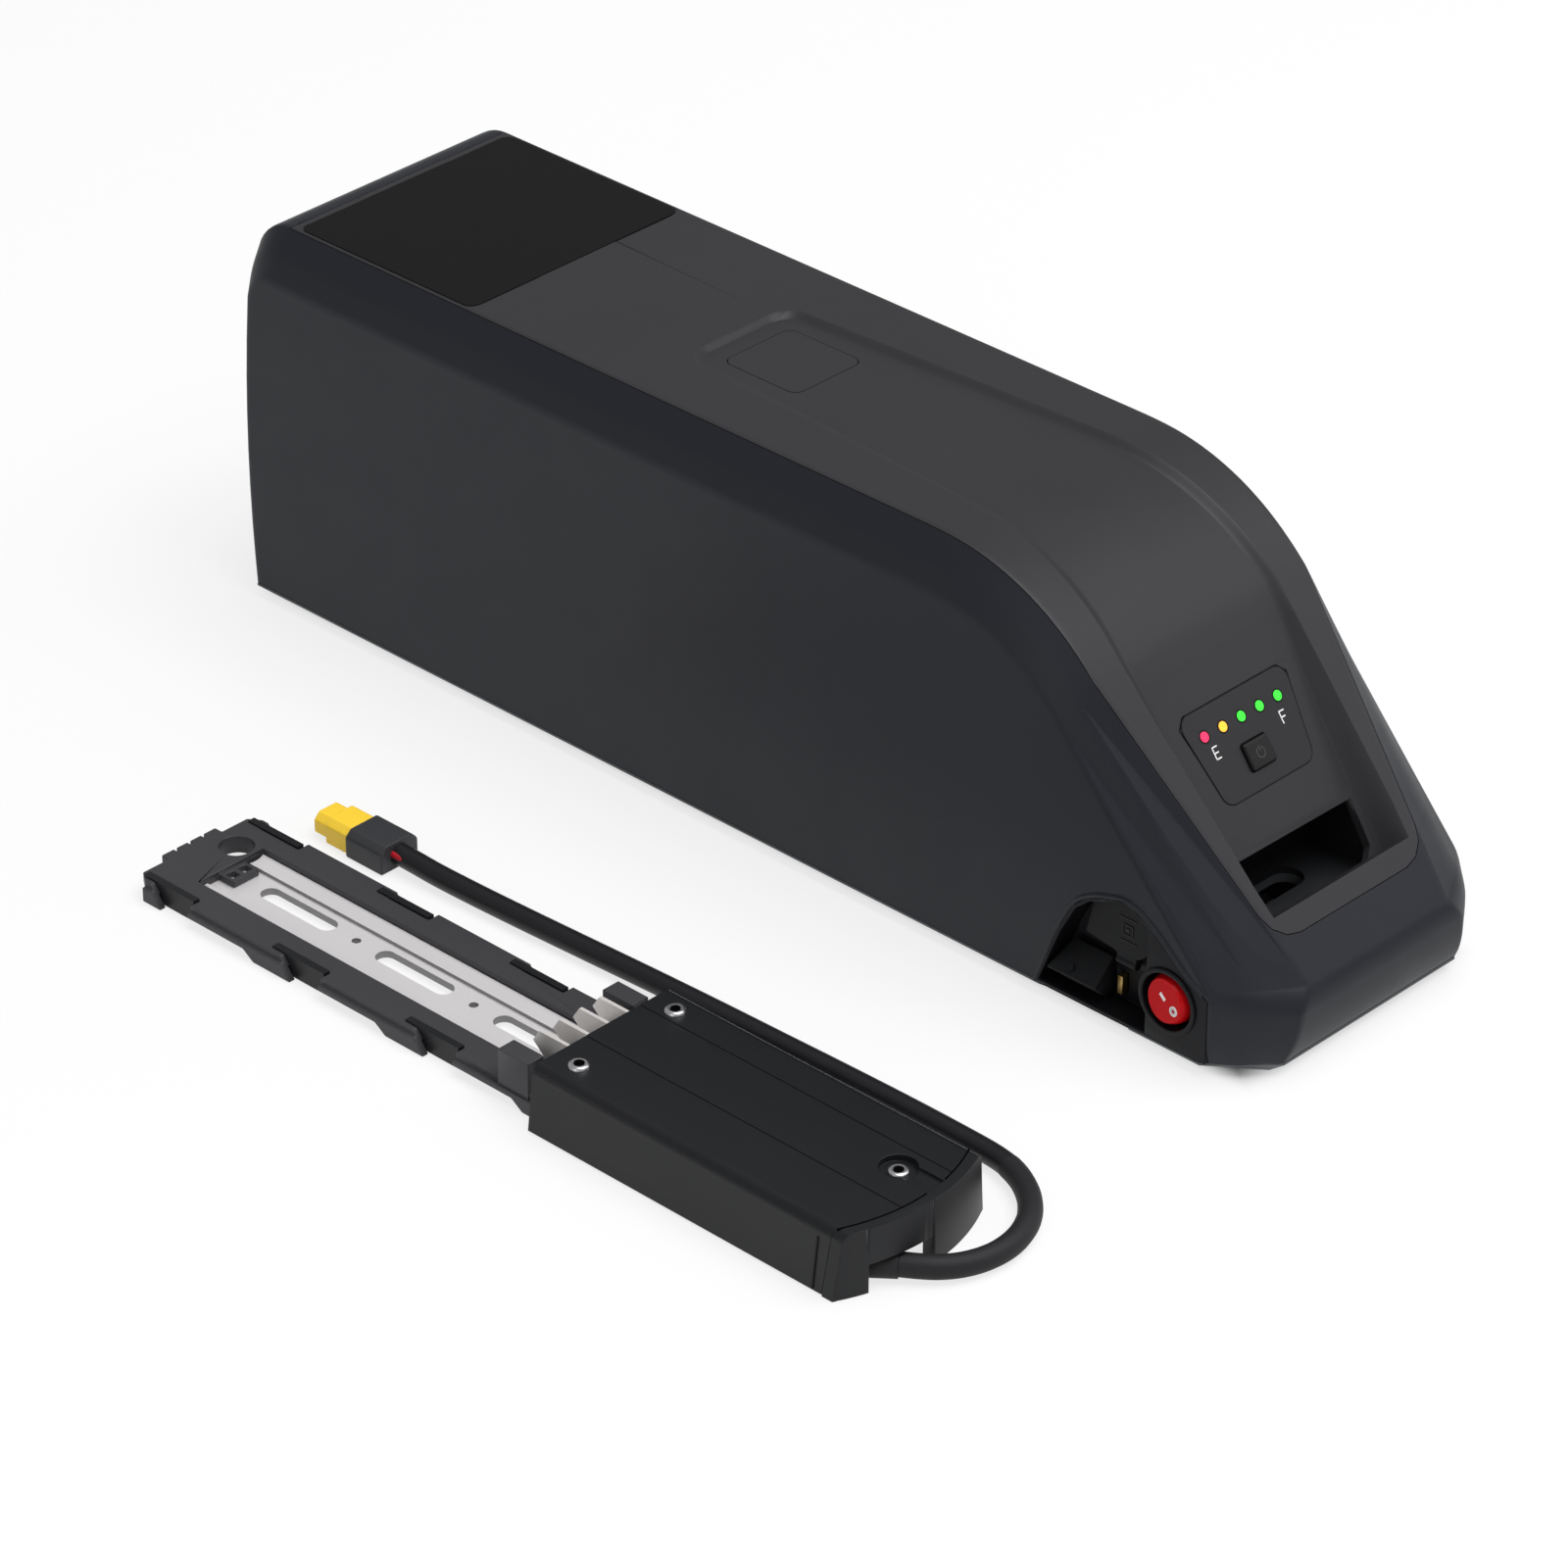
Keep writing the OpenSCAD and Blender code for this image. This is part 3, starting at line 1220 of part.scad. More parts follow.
module controller_parts() {
    x = box_x + board_in;
    y = board_half - transistor_in - transistor_t;
    top = board_z + pcb_t;
    color("#2a2b2e") on_base() {
        for (k = [0 : transistor_count - 1])
            translate([x + transistor_in + k * transistor_pitch, y, top])
                cube([transistor_len, transistor_t, transistor_h]);
        for (k = [0 : capacitor_count - 1])
            rod_x([x + capacitor_in + k * capacitor_pitch, -capacitor_d, top + capacitor_d / 2],
                capacitor_d, capacitor_len);
    }
}

// Cable from the box's arch round to its connector; the route's points lie in the base's frame
exit_angle = 37;
gland_len = 10;
gland_d = 7.4;
gland_tip_d = 6.8;
route = [[247, -8, 3.8], [250.5, -5.3, 3.6], [254, -2, 3.4], [257, 2.5, 3.2], [259, 8, 3.1], [259.6, 14, 3.1],
    [258.6, 20, 3.1], [256, 26, 3.1], [252, 31, 3.1], [247, 35, 3.1], [241, 38, 3.1], [234, 39.6, 3.1],
    [222, 40, 3.1], [205, 40, 3.1], [185, 39.6, 3.1], [165, 39, 3.1], [145, 38.4, 3.1], [125, 37.6, 3.1],
    [105, 36.6, 3.1], [85, 35.6, 3.1], [68, 34.8, 3.2], [54, 34.2, 3.5], [46, 34, 3.9], [40, 34, 4]];
tube_sides = 10;
conn_x = 14;
conn_y = 34;
conn_z = 4;
conn_w = 11;
conn_h = 7;
conn_len = 13;
conn_nose = 5;
conn_nose_w = 9.4;
conn_nose_h = 5.4;
conn_bevel = 1.8;
collar_w = 12.4;
collar_h = 7.8;
collar_len = 13;
conn_bore = 3.2;
conn_pitch = 5;
conn_pin_len = 7;
conn_pin_in = 0.5;
conn_pin_wall = 0.4;
function unit(v) = v / norm(v);
function route_dir(k) = k == 0 ? [cos(exit_angle), sin(exit_angle), 0]
    : k == len(route) - 1 ? [-1, 0, 0]
    : unit(route[k + 1] - route[k - 1]);
// Circle of points round the route, clockwise as seen along it
function tube_ring(k, r) =
    let (side = unit(cross([0, 0, 1], route_dir(k))), up = cross(route_dir(k), side))
    [for (j = [0 : tube_sides - 1])
        route[k] + r * cos(360 * j / tube_sides) * side - r * sin(360 * j / tube_sides) * up];
module cable() {
    color("#202124") on_base() through_rings([for (k = [0 : len(route) - 1]) tube_ring(k, cable_d / 2)]);
}
module cable_gland() {
    color("#1a1a1c") on_base() translate(route[0]) rotate([0, 0, exit_angle]) rotate([0, -90, 0])
        cylinder(d1 = gland_tip_d, d2 = gland_d, h = gland_len);
}
module plug_outline(w, h) {
    b = conn_bevel;
    polygon([[-w / 2, -h / 2], [w / 2, -h / 2], [w / 2, h / 2 - b], [w / 2 - b, h / 2],
        [b - w / 2, h / 2], [-w / 2, h / 2 - b]]);
}
module at_plug() { translate([0, conn_y, conn_z]) children(); }
module connector_body() {
    color("#f7bd1f") on_base() at_plug() difference() {
        union() {
            along_x(conn_x + conn_nose, conn_len - conn_nose) plug_outline(conn_w, conn_h);
            along_x(conn_x, conn_nose + over) plug_outline(conn_nose_w, conn_nose_h);
        }
        for (side = [-1, 1]) rod_x([conn_x - over, side * conn_pitch / 2, 0], conn_bore, conn_pin_len + over);
    }
}
module connector_collar() {
    color("#55585c") on_base() at_plug()
        along_x(conn_x + conn_len, collar_len) plug_outline(collar_w, collar_h);
}
module connector_pins() {
    d = conn_bore - 2 * slip;
    color("#d8b14a") on_base() at_plug() for (side = [-1, 1]) difference() {
        rod_x([conn_x + conn_pin_in, side * conn_pitch / 2, 0], d, conn_pin_len - conn_pin_in);
        rod_x([conn_x, side * conn_pitch / 2, 0], d - 2 * conn_pin_wall, conn_pin_len - 2 * conn_pin_in);
    }
}

side_shell();
top_cover();
bottom_cover();
label_plate();
badge_plate();
gauge_panel();
gauge_lens_low();
gauge_lens_half();
gauge_lenses_full();
power_button();
gauge_board();
handle_cup();
port_panel();
charge_socket();
charge_pin();
charge_cap();
usb_socket();
usb_flap();
fuse_contact();
switch_bezel();
switch_pivot();
switch_tabs();
rocker();
case_screws();
lock_housing();
lock_bolt();
lock_barrel();
cell_bank_1();
cell_bank_2();
cell_bank_3();
cell_bank_4();
cell_holder_near();
cell_holder_far();
nickel_strips_near();
nickel_strips_far();
foam_pads();
bms_board();
bms_parts();
pack_leads();
discharge_socket();
discharge_clips();
base_rail();
base_plate();
blade_block();
blade_contacts();
controller_board();
controller_parts();
controller_cover();
end_cap();
cover_screw_set();
cable_gland();
cable();
connector_collar();
connector_body();
connector_pins();
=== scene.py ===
"""Downtube battery pack beside its mounting base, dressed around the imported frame."""

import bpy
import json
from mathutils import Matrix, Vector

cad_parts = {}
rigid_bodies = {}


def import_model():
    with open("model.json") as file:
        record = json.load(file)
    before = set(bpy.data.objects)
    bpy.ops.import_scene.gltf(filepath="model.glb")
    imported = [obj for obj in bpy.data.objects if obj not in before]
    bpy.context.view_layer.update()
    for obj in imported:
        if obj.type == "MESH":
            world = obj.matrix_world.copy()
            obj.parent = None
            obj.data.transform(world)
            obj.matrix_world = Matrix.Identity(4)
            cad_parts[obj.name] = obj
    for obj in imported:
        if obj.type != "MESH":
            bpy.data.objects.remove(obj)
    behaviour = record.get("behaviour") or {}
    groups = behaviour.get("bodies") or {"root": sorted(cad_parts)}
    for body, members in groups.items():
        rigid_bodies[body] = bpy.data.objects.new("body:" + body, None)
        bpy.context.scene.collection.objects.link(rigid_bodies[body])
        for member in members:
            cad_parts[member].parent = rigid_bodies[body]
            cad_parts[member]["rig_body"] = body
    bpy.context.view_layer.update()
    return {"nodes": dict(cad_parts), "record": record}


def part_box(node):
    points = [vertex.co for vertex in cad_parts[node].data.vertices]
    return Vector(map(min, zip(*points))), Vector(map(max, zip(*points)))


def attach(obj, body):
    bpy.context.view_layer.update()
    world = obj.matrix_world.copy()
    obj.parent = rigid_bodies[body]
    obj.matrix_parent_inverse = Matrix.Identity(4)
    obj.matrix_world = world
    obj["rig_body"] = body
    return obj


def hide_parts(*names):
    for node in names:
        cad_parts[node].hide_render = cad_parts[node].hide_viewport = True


bl_info = {
    "name": "Downtube battery pack",
    "version": (1, 0, 0),
    "blender": (4, 5, 0),
    "location": "View3D > Sidebar > Battery",
    "description": "Builds the finished pieces of a downtube battery pack and its mounting base",
    "category": "Object",
}

import json
import math

import bmesh
import bpy
from bpy.props import FloatProperty, FloatVectorProperty, PointerProperty
from mathutils import Matrix, Vector
from mathutils.bvhtree import BVHTree

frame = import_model()
NODES = frame["nodes"]
SLOT_OF = {row["node"]: row["material_slot"] for row in frame["record"]["subparts"]}
MM = 0.001
WHITE = (1, 1, 1, 1)

# Origins of the pack's and of the base's own lengths, in metres. All that follows is in
# millimetres and degrees, unless it says otherwise.
PACK_ORIGIN = Vector((-175.0, 63.1, 0.0)) * MM
BASE_ORIGIN = Vector((-86.0, -83.6, 0.0)) * MM

# Clean-up of a copied CAD mesh and of a cut one, and the least corner count that is triangulated
WELD, SLIVER, FLAT_TURN, LARGE_FACE = 0.002, 0.008, 0.4, 5
# An edge is rounded where it and the edges at its ends are longer than this many widths
ROOM_FOR_ROUNDING = 2.1

# Rounding of the copied CAD nodes: its width, then the turn from which an edge is sharp and the
# steps where they aren't the usual ones. The other nodes keep their edges or have a setting.
ROUNDING = {
    "cable_gland": (0.3, 40), "connector_collar": (0.5, 25), "connector_body": (0.35, 25),
    "connector_pins": (0.15, 35), "label_plate": (0.08,), "badge_plate": (0.2,),
    "case_screws": (0.2,), "gauge_panel": (0.25,), "gauge_lens_low": (0.35,),
    "gauge_lens_half": (0.35,), "gauge_lenses_full": (0.35,), "power_button": (0.6, 28, 3),
    "gauge_board": (0.1,), "port_panel": (0.3,), "charge_socket": (0.1,), "charge_pin": (0.1,),
    "usb_socket": (0.1,), "fuse_contact": (0.1,), "switch_pivot": (0.1,), "switch_tabs": (0.1,),
    "charge_cap": (0.5, 28, 3), "usb_flap": (0.4, 28, 3), "switch_bezel": (0.25,),
    "rocker": (0.5, 28, 3), "lock_housing": (0.3,), "lock_bolt": (0.3,), "lock_barrel": (0.25,),
    "blade_block": (0.2,),
}
SKIN_TURN = 35

# The case's outline, from its left end, its middle and the floor
PACK_LEN, PACK_HALF, PACK_H = 350.0, 46.0, 110.0
SLOPE_TURN = 42.2
TIP_Z = 21.3
ARC_R, CORNER_R, NOSE_R = 67.0, 13.0, 9.0
SIDE_CORNER_R, SIDE_NOSE_R, SIDE_NOSE_IN, SIDE_END_IN = 10.0, 10.0, 14.0, 3.0
DROP_TOP, DROP_SLOPE = 13.5, 9.5
SEAM_HALF, SEAM_NOSE_HALF, NOSE_FRONT_HALF, NOSE_FOOT_HALF = 38.5, 26.0, 30.0, 34.0
END_BULGE = 2.0
ARC_X = PACK_LEN - (ARC_R + math.sin(math.radians(SLOPE_TURN)) * (PACK_H - ARC_R - TIP_Z)) / (
    math.cos(math.radians(SLOPE_TURN)))
SLOPE_LEN = 86.57
# Steps of the left end, its corner, the arc, the nose and the curve under the nose
STEPS_ROUND = (8, 10, 28, 10, 14)
SLOPE_SHARES = (0.023, 0.046, 0.07, 0.1, 0.15, 0.2, 0.3, 0.4, 0.5, 0.6, 0.7, 0.7975, 0.7987,
                0.86, 0.93)
EASE_TIMES = 10

# Shape across the case: the chamfer's middle, and where its ends turn into the crease and seam
CHAMFER_IN, CHAMFER_OUT, CREASE_SHARE, SEAM_SHARE = 0.44, 0.56, 0.35, 0.15
ROUND_TIMES = 3
FOOT_BELOW = 1.0

# The long recess: its rim starts just outside that of the source, and its floor is a hair deeper
RECESS_START, RECESS_RIM, RECESS_FLOOR, RECESS_CORNER_R = 135.4, 1.3, 1.0, 4.5
RECESS_END_HALF, RECESS_START_HALF, RECESS_ARC_HALF = 14.0, 17.5, 23.25
RECESS_TOP_HALF, RECESS_LOW_HALF = 27.0, 24.0
RECESS_DEPTH, FLOOR_TILT, FLOOR_TAPER, RECESS_LAST = 1.41, 5.8, 1.5, 11
WALL_LEAST, RIM_ROOM, RIM_LEAD, FLOOR_LEAD, CLOSED_WALL = 0.5, 0.6, 0.5, 1.0, 2.0
RECESS_START_X = 142.4
RECESS_XS = (135.0, 135.4, 135.8, 136.2, 136.6, 137.0, 137.4, 137.7, 138.2, 138.8, 139.6, 140.6,
             RECESS_START_X, ARC_X - 9, ARC_X - 6, ARC_X - 4, ARC_X - 2)
FLAT_SHARES = [(x - END_BULGE - CORNER_R) / (ARC_X - END_BULGE - CORNER_R) for x in RECESS_XS]

# The gauge: lights, film and button, down the slope and across, from the panel's middle
GAUGE_TILT = 53.6
LENS_DEPTH, LIGHT_ROW, LIGHT_PITCH, LIGHTS = 1.25, 5.6, 6.7, 5
LIGHT_RING_R, LIGHT_RING_W, LIGHT_RING_UP = 1.55, 0.35, 0.1
GAUGE_CORNERS = ((-12.15, -19.7), (12.15, -15.9), (12.15, 15.9), (-12.15, 19.7))
GAUGE_CORNER_R = 3.6
# Low side, high side and edge of the film and of the hole that is cut in it
FILM, FILM_HOLE = (-0.3, 0.12, 0.1), (-1, 1, 0.01)
BUTTON_CORNERS = ((0.2, -4.6), (7.8, -4.6), (7.8, 4.6), (0.2, 4.6))
BUTTON_CORNER_R = 0.9
GROOVE_R, GROOVE_UP = 0.16, 0.04

# Printed marks, as bars: middle down, middle across, length, width and turn
LETTER_E = ((-0.9, -12.8, 3.2, 0.32, 0), (-2.4, -12.0, 0.32, 1.8, 0),
            (-0.9, -12.05, 0.32, 1.5, 0), (0.6, -12.0, 0.32, 1.8, 0))
LETTER_F = ((-0.5, 11.5, 3.2, 0.32, 0), (-2.0, 12.3, 0.32, 1.8, 0), (-0.5, 12.2, 0.32, 1.5, 0))
POWER_STROKE = (3.1, 0, 1.3, 0.25, 0)
# Rings of bars: middle down, middle across, radius, width, start, turn and count
POWER_RING, OFF_RING = (4.1, 0, 1.3, 0.25, -145, 290, 20), (0, 0, 0.88, 0.8)
ON_STROKE = (0, 0, 2.2, 0.8, -35)
CHARGE_ICON = ((0, 3.2, 5.2, 0.35, 0), (0.4, -3.2, 5.4, 0.35, 0), (0.1, 1.4, 3.0, 0.3, 0),
               (0.1, -1.4, 3.0, 0.3, 0), (-1.4, 0, 0.3, 3.0, 0), (1.6, 0, 0.3, 3.0, 0),
               (0.1, 0, 1.1, 0.9, 0))
LETTERS_UP, POWER_UP, MARKS_UP = 0.13, 1.2, 0.06
PRINT_THICK, POWER_THICK, ROCKER_THICK, ICON_THICK = 0.1, 0.06, 0.2, 0.24

# The port's arch along the near face, the rocker and the cap
PORT_X, PORT_LEN, PORT_LOW, PORT_HIGH, PORT_FACE = 280.0, 54.0, 4.0, 34.5, -45.8
PORT_SHARES = ((0, 0), (0.055, 0.24), (0.11, 0.48), (0.2, 0.76), (0.29, 0.89), (0.41, 0.97),
               (0.54, 1), (0.7, 0.87), (0.86, 0.66), (0.97, 0.55))
PORT_RIM_R = 0.6
ROCKER_SCALE = 0.9
ON_PLACE, OFF_PLACE, CAP_PLACE = (320.8, 18.0), (324.8, 15.9), (307.0, 29.2)
# Edges round the port get the side shell's full rounding, the others a share of it
SHELL_EDGE, OTHER_EDGES = 0.6, 0.4
PORT_ZONE_LEFT, PORT_ZONE_BACK, PORT_ZONE_TOP = -2.0, 20.0, 42.0

# The controller box, in the base's own lengths
BOX_HALF, BOX_LEAN, BOX_H, SHOULDER_R, SHOULDER_STEPS = 25.5, 2.0, 17.7, 3.0, 12
BOX_SPAN = (144.0, 250.0)
BOX_INSET, BOX_EDGE = 0.06, 0.15
CAP_ARC_X, CAP_ARC_R, CAP_ARC_DROP, CAP_ARC_STEPS = 195.73, 50.27, 0.1, 16
CAP_ARC_TURNS = ((-26, 2.5), (10.5, 26))
CAP_GROOVE_R = 0.22
# Lines of the clip on the near face: place, length, width, thickness, node and finish
CLIP_LINES = ((236.4, 7.5, 0.45, 13.5, 0.2, "controller_cover", "port_plastic"),
              (239.6, 12.6, 3.2, 0.5, 0.3, "end_cap", "port_plastic"),
              (239.6, 13.6, 3.6, 0.35, 0.4, "end_cap", "cover_metal"))

# The cover's screws: places, section of a head as radius and height, and the dark hexagon in it,
# which is painted shade of its socket
SCREW_HEADS = ((153.0, -16.0, 17.7), (153.0, 16.0, 17.7), (234.0, 5.7, 15.9))
HEAD_PROFILE = ((0, 0.3), (1.4, 0.3), (1.45, 0.94), (1.9, 1.0), (2.3, 0.86), (2.6, 0.5),
                (2.7, 0.05), (2.7, -0.6), (0, -0.6))
HEAD_STEPS, HEAD_SHARP_TURN = 36, 40
SOCKET_R, SOCKET_CORNER_R, SOCKET_LOW, SOCKET_HIGH, SOCKET_EDGE = 1.3, 0.1, 0.1, 0.86, 0.02

# Dark blocks between the rail's side tabs: painted shade in the pockets behind its feet
POCKET_SHADE_STARTS, POCKET_SHADE_SIDE, POCKET_SHADE_Z, POCKET_SHADE_SIZE = (4.0, 50.4, 96.8), 17.4, 3.1, (18.0, 2.0, 5.8)

# Route of the cable and of the red lead at its plug, in the base's own lengths
CABLE_ROUTE = (
    (247, -8, 3.8), (250.5, -5.3, 3.6), (254, -2, 3.4), (257, 2.5, 3.2), (259, 8, 3.1),
    (259.6, 14, 3.1), (258.6, 20, 3.1), (256, 26, 3.1), (252, 31, 3.1), (247, 35, 3.1),
    (241, 38, 3.1), (234, 39.6, 3.1), (222, 40, 3.1), (205, 40, 3.1), (185, 39.6, 3.1),
    (165, 39, 3.1), (145, 38.4, 3.1), (125, 37.6, 3.1), (105, 36.6, 3.1), (85, 35.6, 3.1),
    (68, 34.8, 3.2), (54, 34.2, 3.5), (46, 34, 3.9), (40, 34, 4),
)
LEAD_ROUTE = ((38, 31.9, 4.9), (41, 31.8, 4.9), (44, 32.2, 4.5), (48, 33.2, 4.0))
LEAD_R = 0.9
CABLE_STEPS, LEAD_STEPS, ARCH_STEPS = 5, 4, 6
CABLE_INSET, SLEEVE_INSET = 0.1, 0.01

# Softboxes: name, place and size in metres, and the setting that gives the power
SOFTBOXES = (("Overhead softbox", (0.55, 0.25, 1.7), 1.5, "key_strength"),
             ("Side softbox", (0.35, -1.9, 0.75), 1.0, "fill_strength"),
             ("Rear strip", (0.9, 1.5, 0.9), 0.8, "fill_strength"))
# Floor, in metres: half its width, its drop below the object, its grey, and the bands beside
# and past the ends of the pack over which it turns white
FLOOR_HALF, FLOOR_DROP, FLOOR_GREY = 4.0, 0.0002, 0.86
WHITE_BESIDE, WHITE_PAST_ENDS = (0.036, 0.044), (0.160, 0.172)

MATERIALS = {}


def colour(name, words, value):
    return FloatVectorProperty(name=name, description=words, default=value, size=3, min=0, max=1,
                               subtype="COLOR")


def length(name, words, value):
    return FloatProperty(name=name, description=words, default=value, min=0, unit="LENGTH",
                         subtype="DISTANCE")


def turn(name, words, value):
    return FloatProperty(name=name, description=words, default=math.radians(value),
                         unit="ROTATION", subtype="ANGLE")


def amount(name, words, value, high=1.0):
    return FloatProperty(name=name, description=words, default=value, min=0, max=high)


class CaseSettings(bpy.types.PropertyGroup):
    """Finish of the battery pack's case."""

    side_colour: colour("Side colour", "Colour of the side shell", (0.0112, 0.0125, 0.0178))
    top_colour: colour("Top colour", "Colour of the top cover", (0.0255, 0.0242, 0.0272))
    label_colour: colour("Label colour", "Colour of the bare label", (0.006, 0.006, 0.006))
    gauge_colour: colour("Gauge colour", "Colour of the gauge's film", (0.020, 0.0195, 0.022))
    rocker_colour: colour("Rocker colour", "Colour of the rocker", (0.52, 0.004, 0.007))
    crease_width: length("Crease width", "How far the crease's rounding reaches on to the faces",
                         3 * MM)
    skin_inset: length("Skin inset", "How far the smooth skin lies inside the true outline",
                       0.12 * MM)
    edge_width: length("Edge width", "Rounding of the top cover's and the handle cup's edges",
                       0.25 * MM)
    light_strength: amount("Light strength", "Glow of the gauge lights", 0.85, 10)


class BaseSettings(bpy.types.PropertyGroup):
    """Finish of the mounting base."""

    rail_colour: colour("Rail colour", "Colour of the moulded rail", (0.046, 0.0445, 0.0495))
    cover_colour: colour("Cover colour", "Colour of the controller's painted cover",
                         (0.0075, 0.008, 0.0095))
    plate_colour: colour("Plate colour", "Colour of the aluminium plate", (0.80, 0.78, 0.79))
    plug_colour: colour("Plug colour", "Colour of the plug's body", (1.0, 0.66, 0.05))
    edge_width: length("Edge width", "Rounding of the rail's edges", 0.3 * MM)


class CableSettings(bpy.types.PropertyGroup):
    """Size of the cable."""

    diameter: length("Diameter", "Diameter of the sleeved cable", 6 * MM)
    sleeve_length: length("Sleeve length", "Length of the shrink sleeve behind the gland",
                          62 * MM)


class StageSettings(bpy.types.PropertyGroup):
    """Camera, light and floor."""

    camera_place: FloatVectorProperty(
        name="Camera place", description="Where the camera stands", size=3, unit="LENGTH",
        default=(1.01157, -1.02996, 0.91033))
    azimuth: turn("Azimuth", "Turn of the camera about the vertical", 43.391)
    elevation: turn("Elevation", "Height of the camera above the horizon", 31.6075)
    roll: turn("Roll", "Roll of the camera", 0.3012)
    lens: FloatProperty(name="Lens", description="Focal length", default=157.716,
                        subtype="DISTANCE_CAMERA")
    key_strength: amount("Key strength", "Power of the large overhead softbox in watts",
                         31.5, 500)
    fill_strength: amount("Fill strength", "Power of each small softbox in watts", 4, 500)
    sky_strength: amount("Sky strength", "Strength of the even light from all round", 0.38, 5)
    white_share: amount("White share", "How much of the floor is seen as plain white", 0.76)


class Field:
    """A value in a material's nodes. Arithmetic on it adds Math nodes."""

    def __init__(self, finish, socket):
        self.finish, self.socket = finish, socket

    def maths(self, operation, first, second):
        return self.finish.maths(operation, first, second)

    def __add__(self, other):
        return self.maths("ADD", self, other)

    def __radd__(self, other):
        return self.maths("ADD", other, self)

    def __sub__(self, other):
        return self.maths("SUBTRACT", self, other)

    def __rsub__(self, other):
        return self.maths("SUBTRACT", other, self)

    def __mul__(self, other):
        return self.maths("MULTIPLY", self, other)

    def __rmul__(self, other):
        return self.maths("MULTIPLY", other, self)

    def __abs__(self):
        return self.maths("ABSOLUTE", self, 0)

    def rise(self, low, high):
        """0 below low and 1 above high, with a soft ramp between."""
        return self.finish.add("ShaderNodeMapRange", {"interpolation_type": "SMOOTHSTEP"},
                               {"Value": self, "From Min": low, "From Max": high})


class Finish:
    """A procedural material on a piece's own coordinates."""

    def __init__(self, name, **fixed):
        self.material = bpy.data.materials.new(name)
        self.material.use_nodes = True
        self.tree = self.material.node_tree
        self.shader = self.tree.nodes["Principled BSDF"]
        self.place = self.add("ShaderNodeTexCoord", out="Object")
        self.set(**{"specular_ior_level": 0.5, **fixed})

    def feed(self, socket, value):
        if isinstance(value, Field):
            self.tree.links.new(value.socket, socket)
        else:
            socket.default_value = value

    def add(self, kind, settings=None, values=None, out=0):
        """One node: its type, its settings, the values or links of its sockets, its output."""
        node = self.tree.nodes.new(kind)
        for key, value in (settings or {}).items():
            setattr(node, key, value)
        for key, value in (values or {}).items():
            self.feed(node.inputs[key], value)
        return Field(self, node.outputs[out])

    def maths(self, operation, first, second):
        return self.add("ShaderNodeMath", {"operation": operation}, {0: first, 1: second})

    def set(self, **sockets):
        """Feeds the shader's sockets, whose names are given with _ for a space."""
        for key, value in sockets.items():
            name = key.replace("_", " ").title().replace("Ior", "IOR")
            if name.endswith("Color") and not isinstance(value, Field):
                value = (*value, 1.0)
            self.feed(self.shader.inputs[name], value)

    def noise(self, scale, detail=2.0, roughness=0.5, stretch=None):
        place = self.place
        if stretch:
            place = self.add("ShaderNodeMapping", None, {"Vector": place, "Scale": stretch})
        return self.add("ShaderNodeTexNoise", None, {
            "Vector": place, "Scale": scale, "Detail": detail, "Roughness": roughness})

    def part(self, vector, axis):
        """One coordinate of a vector: 0, 1 or 2 for X, Y or Z."""
        return self.add("ShaderNodeSeparateXYZ", None, {0: vector}, out=axis)

    def blend(self, share, first, second):
        ends = [end if isinstance(end, Field) else (*end, 1.0) for end in (first, second)]
        return self.add("ShaderNodeMix", {"data_type": "RGBA"}, {0: share, 6: ends[0], 7: ends[1]},
                        out=2)

    def bump(self, height, strength, distance):
        """Fine relief, with its distance in millimetres."""
        self.set(normal=self.add("ShaderNodeBump", None, {
            "Strength": strength, "Distance": distance * MM, "Height": height}))


def scaled(value, factor):
    return tuple(min(1.0, c * factor) for c in value)


def moulded(name, value, roughness=0.5, grain=2600.0, depth=0.12, spread=0.10, shine=0.25):
    """Moulded plastic: fine spark-eroded grain, a slow change of tone and of gloss."""
    f = Finish(name, specular_ior_level=shine)
    tone = f.noise(22.0, 3.0)
    fine = f.noise(grain, 2.0, 0.6)
    base = f.blend(tone, scaled(value, 1 - spread), scaled(value, 1 + spread))
    specks = fine.rise(0.62, 0.8) * 0.5
    f.set(base_color=f.blend(specks, base, scaled(value, 1.6)))
    f.set(roughness=f.noise(90.0, 3.0) * 0.12 + (roughness - 0.06))
    f.bump(fine, depth, 0.12)
    return f.material


def metal(name, value, roughness, stretch=(40.0, 4000.0, 4000.0), depth=0.04, metallic=1.0,
          cut=None):
    """Metal with fine drawn lines along X. Its cut edges, the faces that don't face up, are darker
    by the share in cut: painted shade.
    """
    f = Finish(name, metallic=metallic)
    lines = f.noise(1.0, 2.0, 0.5, stretch)
    drawn = f.blend(lines, scaled(value, 0.95), scaled(value, 1.03))
    if cut:
        # Faces that don't face up are darkened by normal direction: painted shade on walls and
        # slots
        facing_up = abs(f.part(f.add("ShaderNodeTexCoord", out="Normal"), 2))
        drawn = f.blend(facing_up.rise(0.2, 0.6), scaled(value, cut), drawn)
    f.set(base_color=drawn)
    f.set(roughness=f.noise(40.0) * 0.10 + lines * 0.06 + (roughness - 0.08))
    f.bump(lines, depth, 0.1)
    return f.material


def painted(name, value, roughness):
    """Fine matt paint on sheet metal, with a few faint rub marks."""
    f = Finish(name, specular_ior_level=0.3)
    rub = f.noise(1.0, 4.0, 0.6, (25.0, 260.0, 260.0)).rise(0.60, 0.78)
    f.set(base_color=f.blend(rub * 0.35, value, scaled(value, 1.5)))
    f.set(roughness=f.noise(60.0, 3.0) * 0.14 + rub * -0.08 + (roughness - 0.07))
    f.bump(f.noise(3800.0, 2.0, 0.7), 0.18, 0.1)
    return f.material


